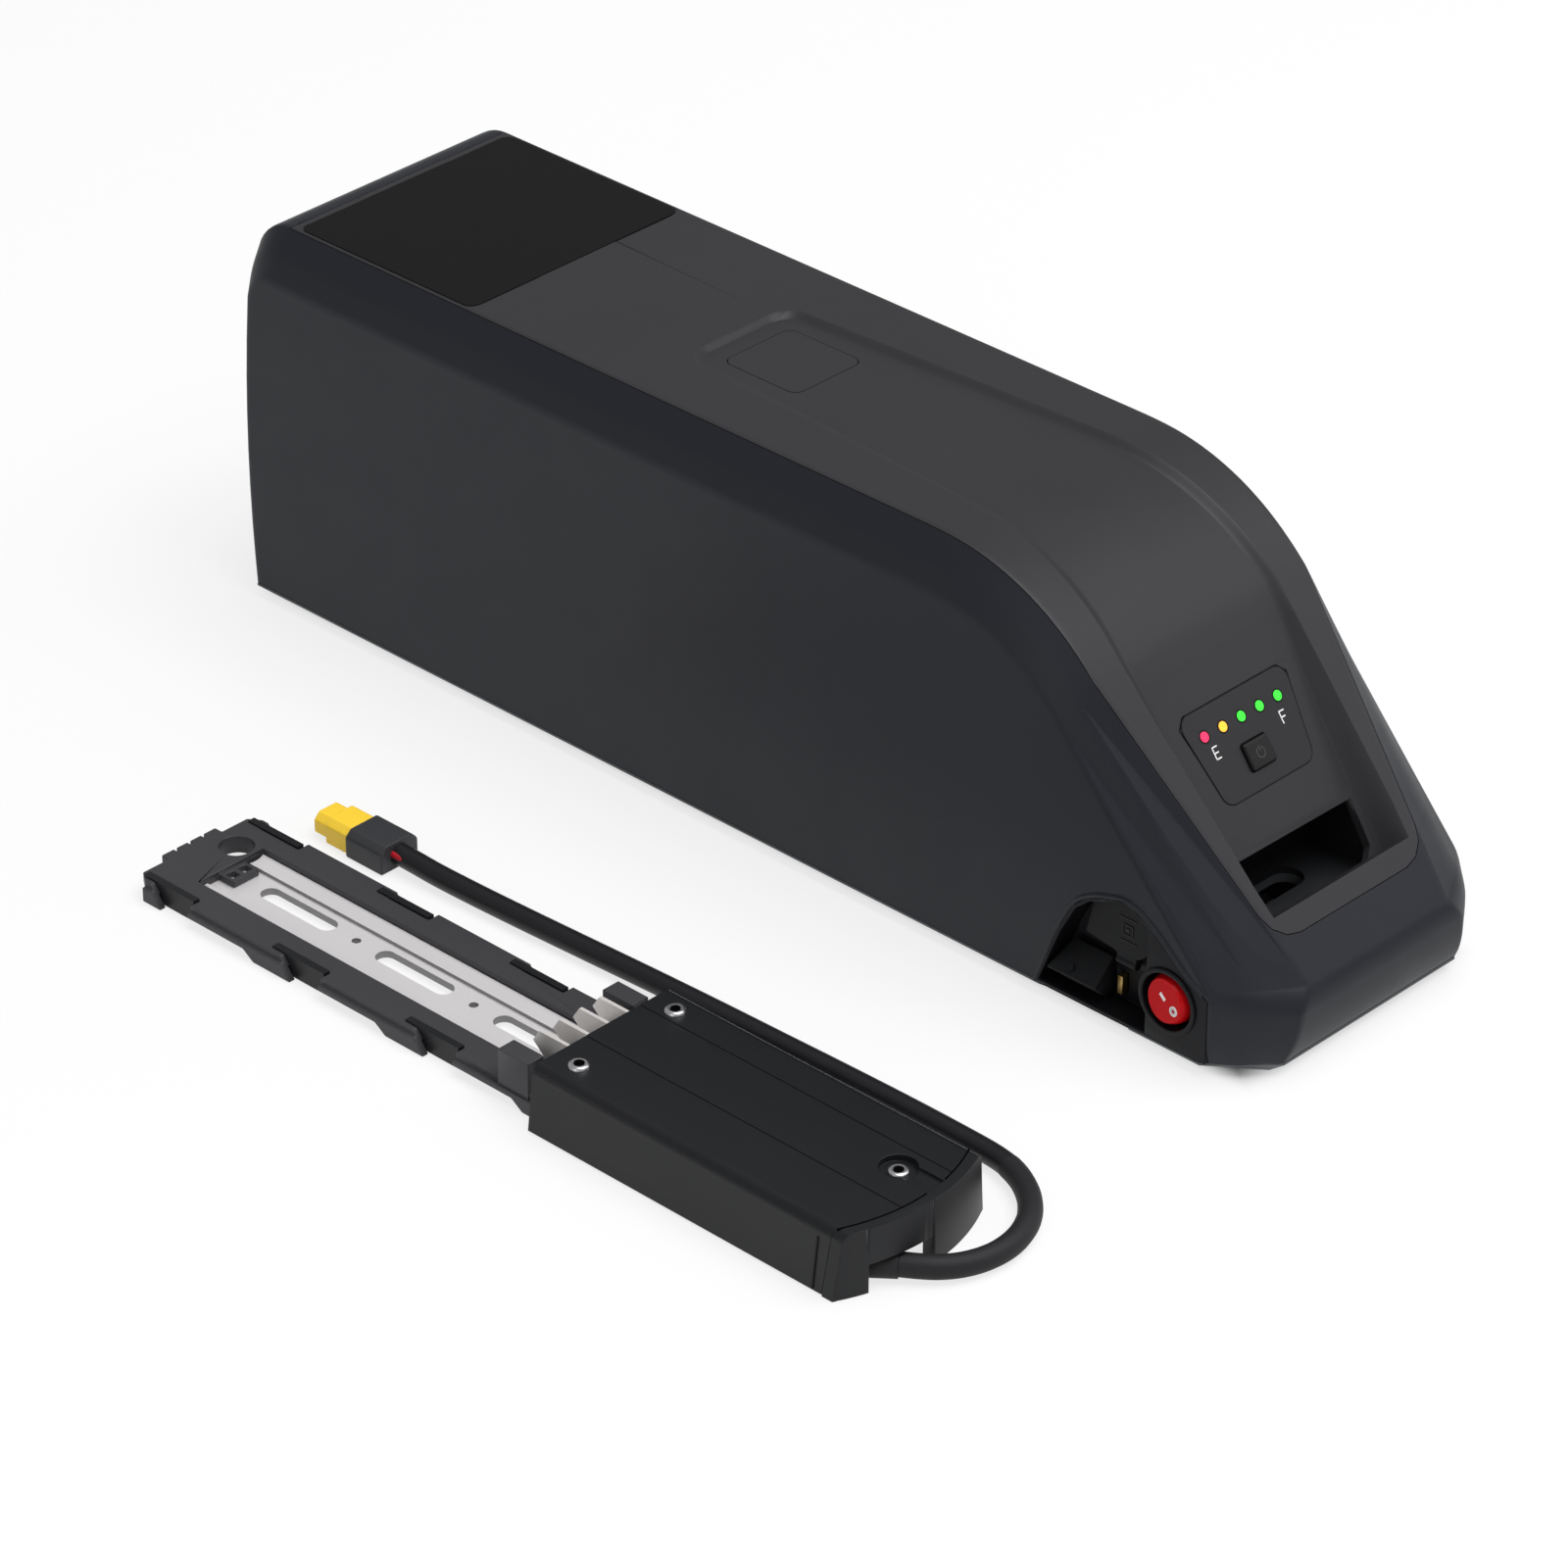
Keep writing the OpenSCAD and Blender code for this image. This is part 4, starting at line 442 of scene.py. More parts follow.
def lens(name, value, strength):
    """Lit lens, with a fine cloud in its colour and its glow."""
    f = Finish(name, roughness=0.25, emission_strength=strength)
    cloud = f.noise(1500.0)
    f.set(base_color=f.blend(cloud, scaled(value, 0.85), value))
    f.set(emission_color=f.blend(cloud, scaled(value, 0.9), scaled(value, 1.1)))
    return f.material


def board(name):
    """Solder mask with faint tracks."""
    f = Finish(name, roughness=0.35)
    tracks = f.noise(1.0, 1.0, 0.5, (90.0, 700.0, 90.0)).rise(0.5, 0.56)
    f.set(base_color=f.blend(tracks, (0.010, 0.085, 0.032), (0.016, 0.13, 0.05)))
    f.bump(tracks, 0.2, 0.05)
    return f.material


class BATTERY_OT_finishes(bpy.types.Operator):
    """Mix the finishes of all pieces"""

    bl_idname = "battery.finishes"
    bl_label = "Finishes"
    bl_options = {"REGISTER", "UNDO"}

    def execute(self, context):
        case, base = context.scene.battery_case, context.scene.battery_base
        glow = case.light_strength
        MATERIALS.update(
            side_plastic=moulded("Side plastic", case.side_colour, 0.46),
            top_plastic=moulded("Top plastic", case.top_colour, 0.44),
            inner_plastic=moulded("Inner plastic", (0.016, 0.017, 0.019), 0.55),
            label_gloss=moulded("Label film", case.label_colour, 0.28, 900.0, 0.01, 0.04, 0.06),
            gauge_plastic=moulded("Gauge film", case.gauge_colour, 0.40, 3200.0, 0.08),
            red_gloss=moulded("Rocker plastic", case.rocker_colour, 0.3, 1200.0, 0.02, 0.05, 0.08),
            red_lens=lens("Red lens", (0.80, 0.02, 0.09), glow),
            amber_lens=lens("Amber lens", (0.98, 0.42, 0.03), glow),
            green_lens=lens("Green lens", (0.03, 0.70, 0.03), glow),
            black_plastic=moulded("Black plastic", (0.008, 0.008, 0.009), 0.42),
            port_plastic=moulded("Port plastic", (0.0055, 0.0060, 0.0075), 0.45, shine=0.15),
            lid_rubber=moulded("Lid rubber", (0.0075, 0.0080, 0.0092), 0.55, 2200.0, 0.1,
                               shine=0.15),
            black_rubber=moulded("Black rubber", (0.015, 0.015, 0.017), 0.6, 2200.0, 0.1),
            cell_sleeve=moulded("Cell sleeve", (0.03, 0.16, 0.34), 0.3, 800.0, 0.02),
            holder_plastic=moulded("Holder plastic", (0.66, 0.66, 0.62)),
            foam_rubber=moulded("Foam", (0.08, 0.08, 0.09), 0.9, 900.0, 0.6),
            red_rubber=moulded("Red insulation", (0.42, 0.01, 0.02), 0.45),
            circuit_board=board("Circuit board"),
            plated_steel=metal("Plated steel", (0.60, 0.60, 0.62), 0.3, (300.0, 300.0, 300.0)),
            black_steel=painted("Blackened steel", (0.03, 0.03, 0.034), 0.4),
            contact_brass=metal("Contact brass", (0.70, 0.48, 0.18), 0.3),
            blade_copper=metal("Tinned blades", (0.88, 0.85, 0.82), 0.35, (40.0, 900.0, 900.0),
                               0.01, metallic=0.5),
            base_plastic=moulded("Rail plastic", base.rail_colour, 0.42),
            # The plate's cut edges and slot walls are darkened to 0.3 of its colour as painted
            # shade.
            plate_aluminium=metal("Aluminium plate", base.plate_colour, 0.42, metallic=0.4,
                                  cut=0.3),
            cover_metal=painted("Painted cover", base.cover_colour, 0.40),
            cable_sleeve=moulded("Cable sleeve", (0.012, 0.012, 0.014), 0.38, 1800.0, 0.05),
            collar_plastic=moulded("Collar plastic", (0.040, 0.041, 0.045), 0.42),
            yellow_plastic=moulded("Plug plastic", base.plug_colour, 0.32, 2000.0, 0.05, 0.04),
            # The foot strip's colour is its plastic's made lighter: painted light from the pale
            # floor below it.
            strip_plastic=moulded("Foot strip plastic", (0.085, 0.090, 0.096), shine=0.3),
            cap_plastic=moulded("End cap plastic", (0.010, 0.0105, 0.012), 0.42),
            # Near black: the dark lines of the end cap's joint grooves, and painted shade in the
            # screws' sockets.
            slot_black=moulded("Dark slot", (0.001, 0.001, 0.001), 0.9, shine=0.02),
            white_print=moulded("White print", (0.85, 0.85, 0.85), 0.4, 2400.0, 0.03, 0.03),
            grey_print=moulded("Grey print", (0.06, 0.06, 0.062), 0.4, 2400.0, 0.03, 0.03),
        )
        return {"FINISHED"}


def mix(a, b, share):
    return a + (b - a) * share


def arc_point(cx, cz, r, angle, tall=None):
    """A point on a circle, or on an ellipse whose half height is tall."""
    tall = r if tall is None else tall
    return (cx + r * math.cos(math.radians(angle)), cz + tall * math.sin(math.radians(angle)))


def on_base(point):
    """A point of the base's own lengths, in the model's metres."""
    return BASE_ORIGIN + Vector(point) * MM


def finish_piece(obj, body, slot, material=None):
    """Gives a piece its material, which is that of the record's slot unless another is named, and
    its body.
    """
    obj.data.materials.clear()
    obj.data.materials.append(MATERIALS[material or slot])
    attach(obj, body)
    return obj


def stands_for(obj, node, material=None):
    """Dresses a piece as the CAD node that it stands for."""
    finish_piece(obj, NODES[node]["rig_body"], SLOT_OF[node], material)
    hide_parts(node)
    return obj


def dress(*nodes):
    """Gives CAD nodes that stay as they are their materials."""
    for node in nodes:
        materials = NODES[node].data.materials
        materials.clear()
        materials.append(MATERIALS[SLOT_OF[node]])


def linked(name, data):
    """A new object in the scene."""
    obj = bpy.data.objects.new(name, data)
    bpy.context.scene.collection.objects.link(obj)
    return obj


def piece_from(bm, name):
    """A new piece at the origin from a bmesh."""
    mesh = bpy.data.meshes.new(name)
    bm.to_mesh(mesh)
    bm.free()
    return linked(name, mesh)


def settled(obj):
    """The piece with its modifiers worked into its mesh."""
    graph = bpy.context.evaluated_depsgraph_get()
    mesh = bpy.data.meshes.new_from_object(obj.evaluated_get(graph))
    obj.modifiers.clear()
    old, obj.data = obj.data, mesh
    bpy.data.meshes.remove(old)
    return obj


def surface_of(mesh):
    return BVHTree.FromPolygons([v.co for v in mesh.vertices], [f.vertices for f in mesh.polygons])


def boolean(obj, operation, other):
    """The piece cut by another one or kept within it."""
    cut = obj.modifiers.new("Cut", "BOOLEAN")
    cut.operation, cut.object, cut.solver = operation, other, "EXACT"
    return settled(obj)


def copied(node, name):
    """A piece from a CAD node, with its loose triangles joined to whole faces."""
    bm = bmesh.new()
    bm.from_mesh(NODES[node].data)
    bmesh.ops.remove_doubles(bm, verts=bm.verts, dist=WELD * MM)
    bmesh.ops.dissolve_limit(bm, angle_limit=math.radians(FLAT_TURN), verts=bm.verts,
                             edges=bm.edges)
    bmesh.ops.triangulate(bm, faces=[f for f in bm.faces if len(f.verts) >= LARGE_FACE])
    return piece_from(bm, name)


def round_edges(obj, width, angle=28, segments=2, share_of=None):
    """Rounds the edges that turn by more than angle and have room for it, and shades the rest
    smooth. share_of gives the share of the width that an edge gets."""
    bm = bmesh.new()
    bm.from_mesh(obj.data)
    layer = bm.edges.layers.float.new("bevel_weight_edge")
    sharp = math.radians(angle)
    lengths = {edge: edge.calc_length() for edge in bm.edges}
    for edge in bm.edges:
        is_sharp = edge.calc_face_angle(0.0) > sharp
        room = min(lengths[e] for v in edge.verts for e in v.link_edges)
        share = share_of(edge) if share_of else 1.0
        roomy = width and room > ROOM_FOR_ROUNDING * width * share
        edge[layer] = share if is_sharp and roomy else 0.0
        edge.smooth = not (is_sharp and edge[layer] == 0)
    for face in bm.faces:
        face.smooth = True
    bm.to_mesh(obj.data)
    bm.free()
    if not width:
        return obj
    bevel = obj.modifiers.new("Edges", "BEVEL")
    bevel.limit_method = "WEIGHT"
    bevel.width, bevel.segments, bevel.profile = width, segments, 0.5
    bevel.use_clamp_overlap = False
    bevel.miter_outer = "MITER_ARC"
    normals = obj.modifiers.new("Normals", "WEIGHTED_NORMAL")
    normals.mode, normals.keep_sharp = "FACE_AREA", True
    # A corner that strays from the unrounded shape goes back to it
    surface = surface_of(obj.data)
    lowest = min(v.co.z for v in obj.data.vertices)
    settled(obj)
    for v in obj.data.vertices:
        near, _, _, gap = surface.find_nearest(v.co)
        if gap > width:
            v.co = near
        v.co.z = max(v.co.z, lowest)
    return obj


def edged(node, width=None, material=None):
    """A copy of a CAD node with rounded edges and smooth shading, which stands for it."""
    listed, *rest = ROUNDING.get(node, (0.0,))
    width = listed * MM if width is None else width
    return stands_for(round_edges(copied(node, node + "_edged"), width, *rest), node, material)


def within(node, solid, width, share_of=None, material=None):
    """A CAD node with its outer skin taken from a smooth solid just inside it."""
    obj = boolean(copied(node, node + "_smooth"), "INTERSECT", solid)
    bm = bmesh.new()
    bm.from_mesh(obj.data)
    bmesh.ops.remove_doubles(bm, verts=bm.verts, dist=SLIVER * MM)
    bmesh.ops.dissolve_degenerate(bm, dist=SLIVER * MM, edges=bm.edges)
    bm.to_mesh(obj.data)
    bm.free()
    return stands_for(round_edges(obj, width, SKIN_TURN, share_of=share_of), node, material)


def prism(corners, rise):
    """A bmesh of a flat face with the given corners, pulled out by rise."""
    bm = bmesh.new()
    face = bm.faces.new([bm.verts.new(p) for p in corners])
    made = bmesh.ops.extrude_face_region(bm, geom=[face])
    pulled = [g for g in made["geom"] if isinstance(g, bmesh.types.BMVert)]
    bmesh.ops.translate(bm, verts=pulled, vec=rise)
    bmesh.ops.recalc_face_normals(bm, faces=bm.faces)
    return bm


def sheet(name, place, corners, low, high, edge):
    """A thin plate of an outline in millimetres, with its upper edge rounded."""
    bm = prism([Vector((*p, low)) * MM for p in corners], (0, 0, (high - low) * MM))
    rim = [e for e in bm.edges if all(v.co.z > (high - 0.001) * MM for v in e.verts)]
    bmesh.ops.bevel(bm, geom=rim, offset=edge * MM, segments=2, affect="EDGES", profile=0.5,
                    material=-1)
    bmesh.ops.transform(bm, matrix=place, verts=bm.verts)
    return piece_from(bm, name)


def fillet_outline(corners, radius, steps=8):
    """A polygon with each corner rounded, in the plane."""
    points = []
    for i, corner in enumerate(corners):
        here = Vector(corner)
        back = (Vector(corners[i - 1]) - here).normalized()
        on = (Vector(corners[(i + 1) % len(corners)]) - here).normalized()
        half = back.angle(on) / 2
        reach = radius / math.tan(half)
        centre = here + (back + on).normalized() * radius / math.sin(half)
        first, last = here + back * reach - centre, here + on * reach - centre
        points += [centre + first.lerp(last, k / steps).normalized() * radius
                   for k in range(steps + 1)]
    return points


def printed(name, place, bars, thick, body, slot, material):
    """Flat printed bars on a face: each is middle x, middle y, length, width and turn."""
    bm = bmesh.new()
    for x, y, long, wide, angle in bars:
        shape = (Matrix.Translation(Vector((x, y, 0)) * MM)
                 @ Matrix.Rotation(math.radians(angle), 4, "Z")
                 @ Matrix.Diagonal((long * MM, wide * MM, thick * MM, 1)))
        bmesh.ops.create_cube(bm, size=1.0, matrix=place @ shape)
    return finish_piece(piece_from(bm, name), body, slot, material)


def ring_bars(x, y, radius, width, start=0.0, whole=360.0, count=28):
    """Short bars along an arc, as far as a whole ring."""
    step = whole / count
    long = math.radians(step) * (radius + width / 2) * 1.1
    turns = [start + k * step for k in range(count + (whole < 360))]
    return [(*arc_point(x, y, radius, angle), long, width, angle + 90) for angle in turns]


def raised(height):
    """A step out of a face, in millimetres."""
    return Matrix.Translation((0, 0, height * MM))


def facing(right, up, out, place):
    """A place with the given axes."""
    matrix = Matrix((right, up, out)).transposed().to_4x4()
    matrix.translation = place
    return matrix


def seat(node, origin, x, z):
    """A place on the near face of a CAD node, seen from the front: X to the right, Z out of it."""
    point, out, _, _ = surface_of(NODES[node].data).ray_cast(
        origin + Vector((x, -80, z)) * MM, Vector((0, 1, 0)))
    level = (Vector((1, 0, 0)) - out * out.x).normalized()
    return facing(level, out.cross(level), out, point)


def smooth_route(points, steps):
    """Points on a smooth curve through the given ones."""
    route = []
    last = len(points) - 1
    for i in range(last):
        a, b, c, d = (points[max(0, min(last, i + k))] for k in (-1, 0, 1, 2))
        for k in range(steps):
            t = k / steps
            route.append(0.5 * (2 * b + (c - a) * t + (2 * a - 5 * b + 4 * c - d) * t * t
                                + (3 * b - a - 3 * c + d) * t * t * t))
    return route + [points[-1]]


def tube(points, radius, name):
    """A round tube along points, as a mesh."""
    curve = bpy.data.curves.new(name, "CURVE")
    curve.dimensions = "3D"
    curve.bevel_depth = radius
    curve.bevel_resolution = 8
    curve.use_fill_caps = True
    spline = curve.splines.new("POLY")
    spline.points.add(len(points) - 1)
    for target, p in zip(spline.points, points):
        target.co = (*p, 1.0)
    spline.use_smooth = True
    source = linked(name, curve)
    graph = bpy.context.evaluated_depsgraph_get()
    mesh = bpy.data.meshes.new_from_object(source.evaluated_get(graph))
    bpy.data.objects.remove(source)
    mesh.name = name
    return linked(name, mesh)


class BATTERY_OT_stage(bpy.types.Operator):
    """Make the camera, the lights and the floor"""

    bl_idname = "battery.stage"
    bl_label = "Stage"
    bl_options = {"REGISTER", "UNDO"}

    def execute(self, context):
        s = context.scene.battery_stage
        self.camera(context, s)
        for name, place, size, power in SOFTBOXES:
            self.lamp(name, place, size, getattr(s, power))
        self.sky(context, s)
        self.floor(s)
        context.scene.view_settings.view_transform = "Standard"
        return {"FINISHED"}

    def camera(self, context, s):
        sin, cos = math.sin, math.cos
        back = Vector((sin(s.azimuth) * cos(s.elevation), -cos(s.azimuth) * cos(s.elevation),
                       sin(s.elevation)))
        level = Vector((cos(s.azimuth), sin(s.azimuth), 0))
        upright = back.cross(level)
        right = level * cos(s.roll) + upright * sin(s.roll)
        up = upright * cos(s.roll) - level * sin(s.roll)
        camera = linked("Camera", bpy.data.cameras.new("Camera"))
        camera.matrix_world = facing(right, up, back, Vector(s.camera_place))
        camera.data.lens = s.lens
        camera.data.sensor_width = 36
        camera.data.clip_start, camera.data.clip_end = 0.05, 30
        context.scene.camera = camera

    def lamp(self, name, place, size, power):
        """A square softbox that faces the origin."""
        data = bpy.data.lights.new(name, "AREA")
        data.shape, data.size, data.energy = "SQUARE", size, power
        obj = linked(name, data)
        obj.location = place
        obj.rotation_euler = (-Vector(place)).to_track_quat("-Z", "Y").to_euler()

    def sky(self, context, s):
        world = bpy.data.worlds.new("Studio")
        context.scene.world = world
        world.use_nodes = True
        background = world.node_tree.nodes["Background"]
        background.inputs["Color"].default_value = WHITE
        background.inputs["Strength"].default_value = s.sky_strength

    def floor(self, s):
        """Pale paper that is seen as near white, except under the pack, where its shade shows."""
        bm = bmesh.new()
        bmesh.ops.create_grid(bm, x_segments=1, y_segments=1, size=FLOOR_HALF)
        obj = piece_from(bm, "Floor")
        obj.location.z = -FLOOR_DROP
        f = Finish("Floor paper", roughness=0.9, base_color=[FLOOR_GREY] * 3,
                   specular_ior_level=0.0)
        seen = 0
        for rays in ("Is Camera Ray", "Is Glossy Ray", "Is Transmission Ray"):
            seen = f.add("ShaderNodeLightPath", out=rays) + seen
        white = f.add("ShaderNodeEmission", None, {"Color": WHITE, "Strength": 1.0})
        beside = abs(f.part(f.place, 1) - PACK_ORIGIN.y).rise(*WHITE_BESIDE)
        past_ends = abs(f.part(f.place, 0)).rise(*WHITE_PAST_ENDS)
        clear = f.maths("MAXIMUM", beside, past_ends)
        paper = Field(f, f.shader.outputs[0])
        surface = f.add("ShaderNodeMixShader", None,
                        {0: seen * clear * s.white_share, 1: paper, 2: white})
        f.feed(f.tree.nodes["Material Output"].inputs["Surface"], surface)
        obj.data.materials.append(f.material)


class BATTERY_OT_cable(bpy.types.Operator):
    """Make the cable, its sleeve, its gland and its plug"""

    bl_idname = "battery.cable"
    bl_label = "Cable and plug"
    bl_options = {"REGISTER", "UNDO"}

    def execute(self, context):
        s = context.scene.battery_cable
        points = [on_base(p) for p in CABLE_ROUTE]
        route = smooth_route(points, CABLE_STEPS)
        cable = tube(route, s.diameter / 2 - CABLE_INSET * MM, "cable_tube")
        finish_piece(cable, "base", "cable_sleeve")
        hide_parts("cable")
        run, count = 0.0, 0
        while run < s.sleeve_length:
            run += (route[count + 1] - route[count]).length
            count += 1
        sleeve = tube(route[:count], s.diameter / 2 - SLEEVE_INSET * MM, "shrink_sleeve")
        finish_piece(sleeve, "base", "cable_sleeve", "black_rubber")
        edged("cable_gland")
        collar, body, pins = (edged("connector_" + end) for end in ("collar", "body", "pins"))
        lead = smooth_route([on_base(p) for p in LEAD_ROUTE], LEAD_STEPS)
        lead = finish_piece(tube(lead, LEAD_R * MM, "red_lead"), "base", "cable_sleeve",
                            "red_rubber")
        total = sum((b - a).length for a, b in zip(route, route[1:]))
        return {"FINISHED"}


def outline(wall_in, corner, arc, nose):
    """Side view of the case from the floor at the left end over the top to the floor at the nose.
    Each of corner, arc and nose is (x, z, r), and arc has its radius at the slope as a fourth."""
    walls, corners, arcs, noses, unders = STEPS_ROUND
    shares = [k / walls for k in range(walls)]
    points = [(wall_in + END_BULGE * (2 * s - 1) ** 2, s * corner[1]) for s in shares]
    points += [arc_point(*corner, mix(180, 90, k / corners)) for k in range(corners + 1)]
    points += [(mix(corner[0], arc[0], s), corner[1] + corner[2]) for s in FLAT_SHARES]
    points += [arc_point(arc[0], arc[1], mix(arc[2], arc[3], k / arcs),
                         mix(90, SLOPE_TURN, k / arcs)) for k in range(arcs + 1)]
    top, foot = points[-1], arc_point(*nose, SLOPE_TURN)
    points += [(mix(top[0], foot[0], s), mix(top[1], foot[1], s)) for s in SLOPE_SHARES]
    points += [arc_point(*nose, mix(SLOPE_TURN, 0, k / noses)) for k in range(noses + 1)]
    # The ends of the arc are eased into the flat and the slope
    first = walls + corners + len(FLAT_SHARES) + 1
    for _ in range(EASE_TIMES):
        eased = [((a[0] + 2 * b[0] + c[0]) / 4, (a[1] + 2 * b[1] + c[1]) / 4)
                 for a, b, c in zip(points, points[1:], points[2:])]
        points[first - 3:first + arcs + 4] = eased[first - 4:first + arcs + 3]
    return points + [arc_point(*nose, -90 * k / unders, nose[1]) for k in range(1, unders + 1)]


def strip_halves():
    """Half width of the strip between the two seams, along the outline."""
    walls, corners, arcs, noses, unders = STEPS_ROUND
    halves = [SEAM_HALF] * (walls + corners + len(FLAT_SHARES) + arcs + 2)
    halves += [mix(SEAM_HALF, SEAM_NOSE_HALF, s) for s in SLOPE_SHARES]
    halves += [mix(SEAM_NOSE_HALF, NOSE_FRONT_HALF, k / noses) for k in range(noses + 1)]
    return halves + [mix(NOSE_FRONT_HALF, NOSE_FOOT_HALF, k / unders)
                     for k in range(1, unders + 1)]


def recess_rings():
    """Outward angle, half width at the rim, half width at the floor and depth of the recess,
    along the outline."""
    walls, corners, arcs, noses, unders = STEPS_ROUND
    rings = [(90, RECESS_END_HALF, RECESS_END_HALF - CLOSED_WALL, 0)] * (walls + corners + 1)
    reach = RECESS_RIM + RECESS_FLOOR
    outer_r, inner_r = RECESS_CORNER_R + reach, RECESS_CORNER_R
    for x in RECESS_XS:
        half = mix(RECESS_START_HALF, RECESS_ARC_HALF,
                   (x - RECESS_START_X) / (ARC_X - RECESS_START_X))
        out, into = max(0, x - RECESS_START), x - RECESS_START - reach
        outer = half + RECESS_RIM - outer_r + math.sqrt(outer_r ** 2 - max(0, outer_r - out) ** 2)
        inner = half - RECESS_FLOOR - inner_r + math.sqrt(
            inner_r ** 2 - min(inner_r, max(0, inner_r - into)) ** 2)
        ramp = min(1, out / reach)
        rings.append((90, outer, min(inner, outer - WALL_LEAST),
                      RECESS_DEPTH * ramp * ramp * (3 - 2 * ramp)))
    for k in range(arcs + 1):
        half = mix(RECESS_ARC_HALF, RECESS_TOP_HALF, k / arcs)
        rings.append((mix(90, SLOPE_TURN, k / arcs), half + RECESS_RIM, half - RECESS_FLOOR,
                      RECESS_DEPTH))
    for s in SLOPE_SHARES:
        along = s / SLOPE_SHARES[RECESS_LAST]
        half = mix(RECESS_TOP_HALF, RECESS_LOW_HALF, along)
        tilted = RECESS_DEPTH + s * SLOPE_LEN * math.tan(math.radians(FLOOR_TILT))
        rings.append((SLOPE_TURN, half + RECESS_RIM, half - RECESS_FLOOR - FLOOR_TAPER * along,
                      tilted if along <= 1 else 0))
    return rings + [(0, RECESS_END_HALF, RECESS_END_HALF - CLOSED_WALL, 0)] * (noses + unders + 1)


def rounded(points, times):
    """The points with their corners cut off again and again, with the ends kept."""
    for _ in range(times):
        cut = [points[0]]
        for a, b in zip(points, points[1:]):
            cut += [a.lerp(b, 0.25), a.lerp(b, 0.75)]
        points = cut + [points[-1]]
    return points


def case_rings(inset, crease_in, seam_in):
    """Sections of the whole case from end to end, inset from its true outline. crease_in and
    seam_in say how far the crease's and the seam's rounding reach."""
    angle = math.radians(SLOPE_TURN)
    arc_z = PACK_H - ARC_R
    side_nose_x = PACK_LEN - SIDE_NOSE_IN - SIDE_NOSE_R
    side_nose_z = TIP_Z + (math.cos(angle) * (SIDE_NOSE_IN + SIDE_NOSE_R) - DROP_SLOPE
                           - SIDE_NOSE_R) / math.sin(angle)
    side_z = PACK_H - DROP_TOP

    def side(more):
        i = inset + more
        return outline(SIDE_END_IN + i,
                       (SIDE_END_IN + END_BULGE + SIDE_CORNER_R, side_z - SIDE_CORNER_R,
                        SIDE_CORNER_R - i),
                       (ARC_X, arc_z, ARC_R - i - DROP_TOP, ARC_R - i - DROP_SLOPE),
                       (side_nose_x, side_nose_z, SIDE_NOSE_R - i))

    strip = outline(inset, (END_BULGE + CORNER_R, PACK_H - CORNER_R, CORNER_R - inset),
                    (ARC_X, arc_z, ARC_R - inset, ARC_R - inset),
                    (PACK_LEN - NOSE_R, TIP_Z - NOSE_R * math.tan(angle / 2), NOSE_R - inset))
    rings = []
    for top, edge, face, half, recess in zip(strip, side(0), side(crease_in), strip_halves(),
                                             recess_rings()):
        half, side_y = half - inset / 2, PACK_HALF - inset
        crease, seam = Vector((edge[0], side_y, edge[1])), Vector((top[0], half, top[1]))
        middle = Vector((mix(top[0], edge[0], CHAMFER_IN), mix(half, side_y, CHAMFER_OUT),
                         mix(top[1], edge[1], CHAMFER_IN)))
        outward, rim, floor, deep = recess
        rim = min(rim, half - seam_in - RIM_ROOM)
        low = Vector((math.cos(math.radians(outward)), 0, math.sin(math.radians(outward)))) * deep

        def on_strip(y):
            return Vector((top[0], y, top[1]))

        rows = rounded([Vector((face[0], side_y, face[1])), crease,
                        crease.lerp(middle, CREASE_SHARE), middle,
                        seam.lerp(middle, SEAM_SHARE), seam, on_strip(half - seam_in),
                        on_strip(rim + RIM_LEAD), on_strip(rim), on_strip(floor) - low,
                        on_strip(floor - FLOOR_LEAD) - low], ROUND_TIMES)
        rings.append(rows + [Vector((p.x, -p.y, p.z)) for p in reversed(rows)])
    for p in rings[0] + rings[-1]:
        p.z -= FOOT_BELOW
    return rings


def smooth_body(inset, crease_in, seam_in):
    """The whole case as a smooth solid."""
    bm = bmesh.new()
    rings = [[bm.verts.new(PACK_ORIGIN + p * MM) for p in ring]
             for ring in case_rings(inset, crease_in, seam_in)]
    edges = [[bm.edges.new(pair) for pair in zip(ring, ring[1:])] for ring in rings]
    for one, two in zip(edges, edges[1:]):
        bmesh.ops.bridge_loops(bm, edges=one + two)
    bm.faces.new([ring[0] for ring in rings])
    bm.faces.new([ring[-1] for ring in rings])
    bm.faces.new(rings[0] + list(reversed(rings[-1])))
    bmesh.ops.recalc_face_normals(bm, faces=bm.faces)
    return piece_from(bm, "smooth_body")


def smooth_bar():
    """The controller box as a solid bar with round shoulders, just inside its true outline."""
    foot, high, r = BOX_HALF - BOX_INSET, BOX_H - BOX_INSET, SHOULDER_R
    top = foot - BOX_LEAN
    side = [(top - r + r * math.sin(angle), high - r + r * math.cos(angle))
            for angle in (math.pi / 2 * k / SHOULDER_STEPS for k in range(SHOULDER_STEPS + 1))]
    side.append((foot, -FOOT_BELOW))
    section = side + [(-y, z) for y, z in reversed(side)]
    corners = [on_base((BOX_SPAN[0], y, z)) for y, z in section]
    return piece_from(prism(corners, ((BOX_SPAN[1] - BOX_SPAN[0]) * MM, 0, 0)), "smooth_bar")


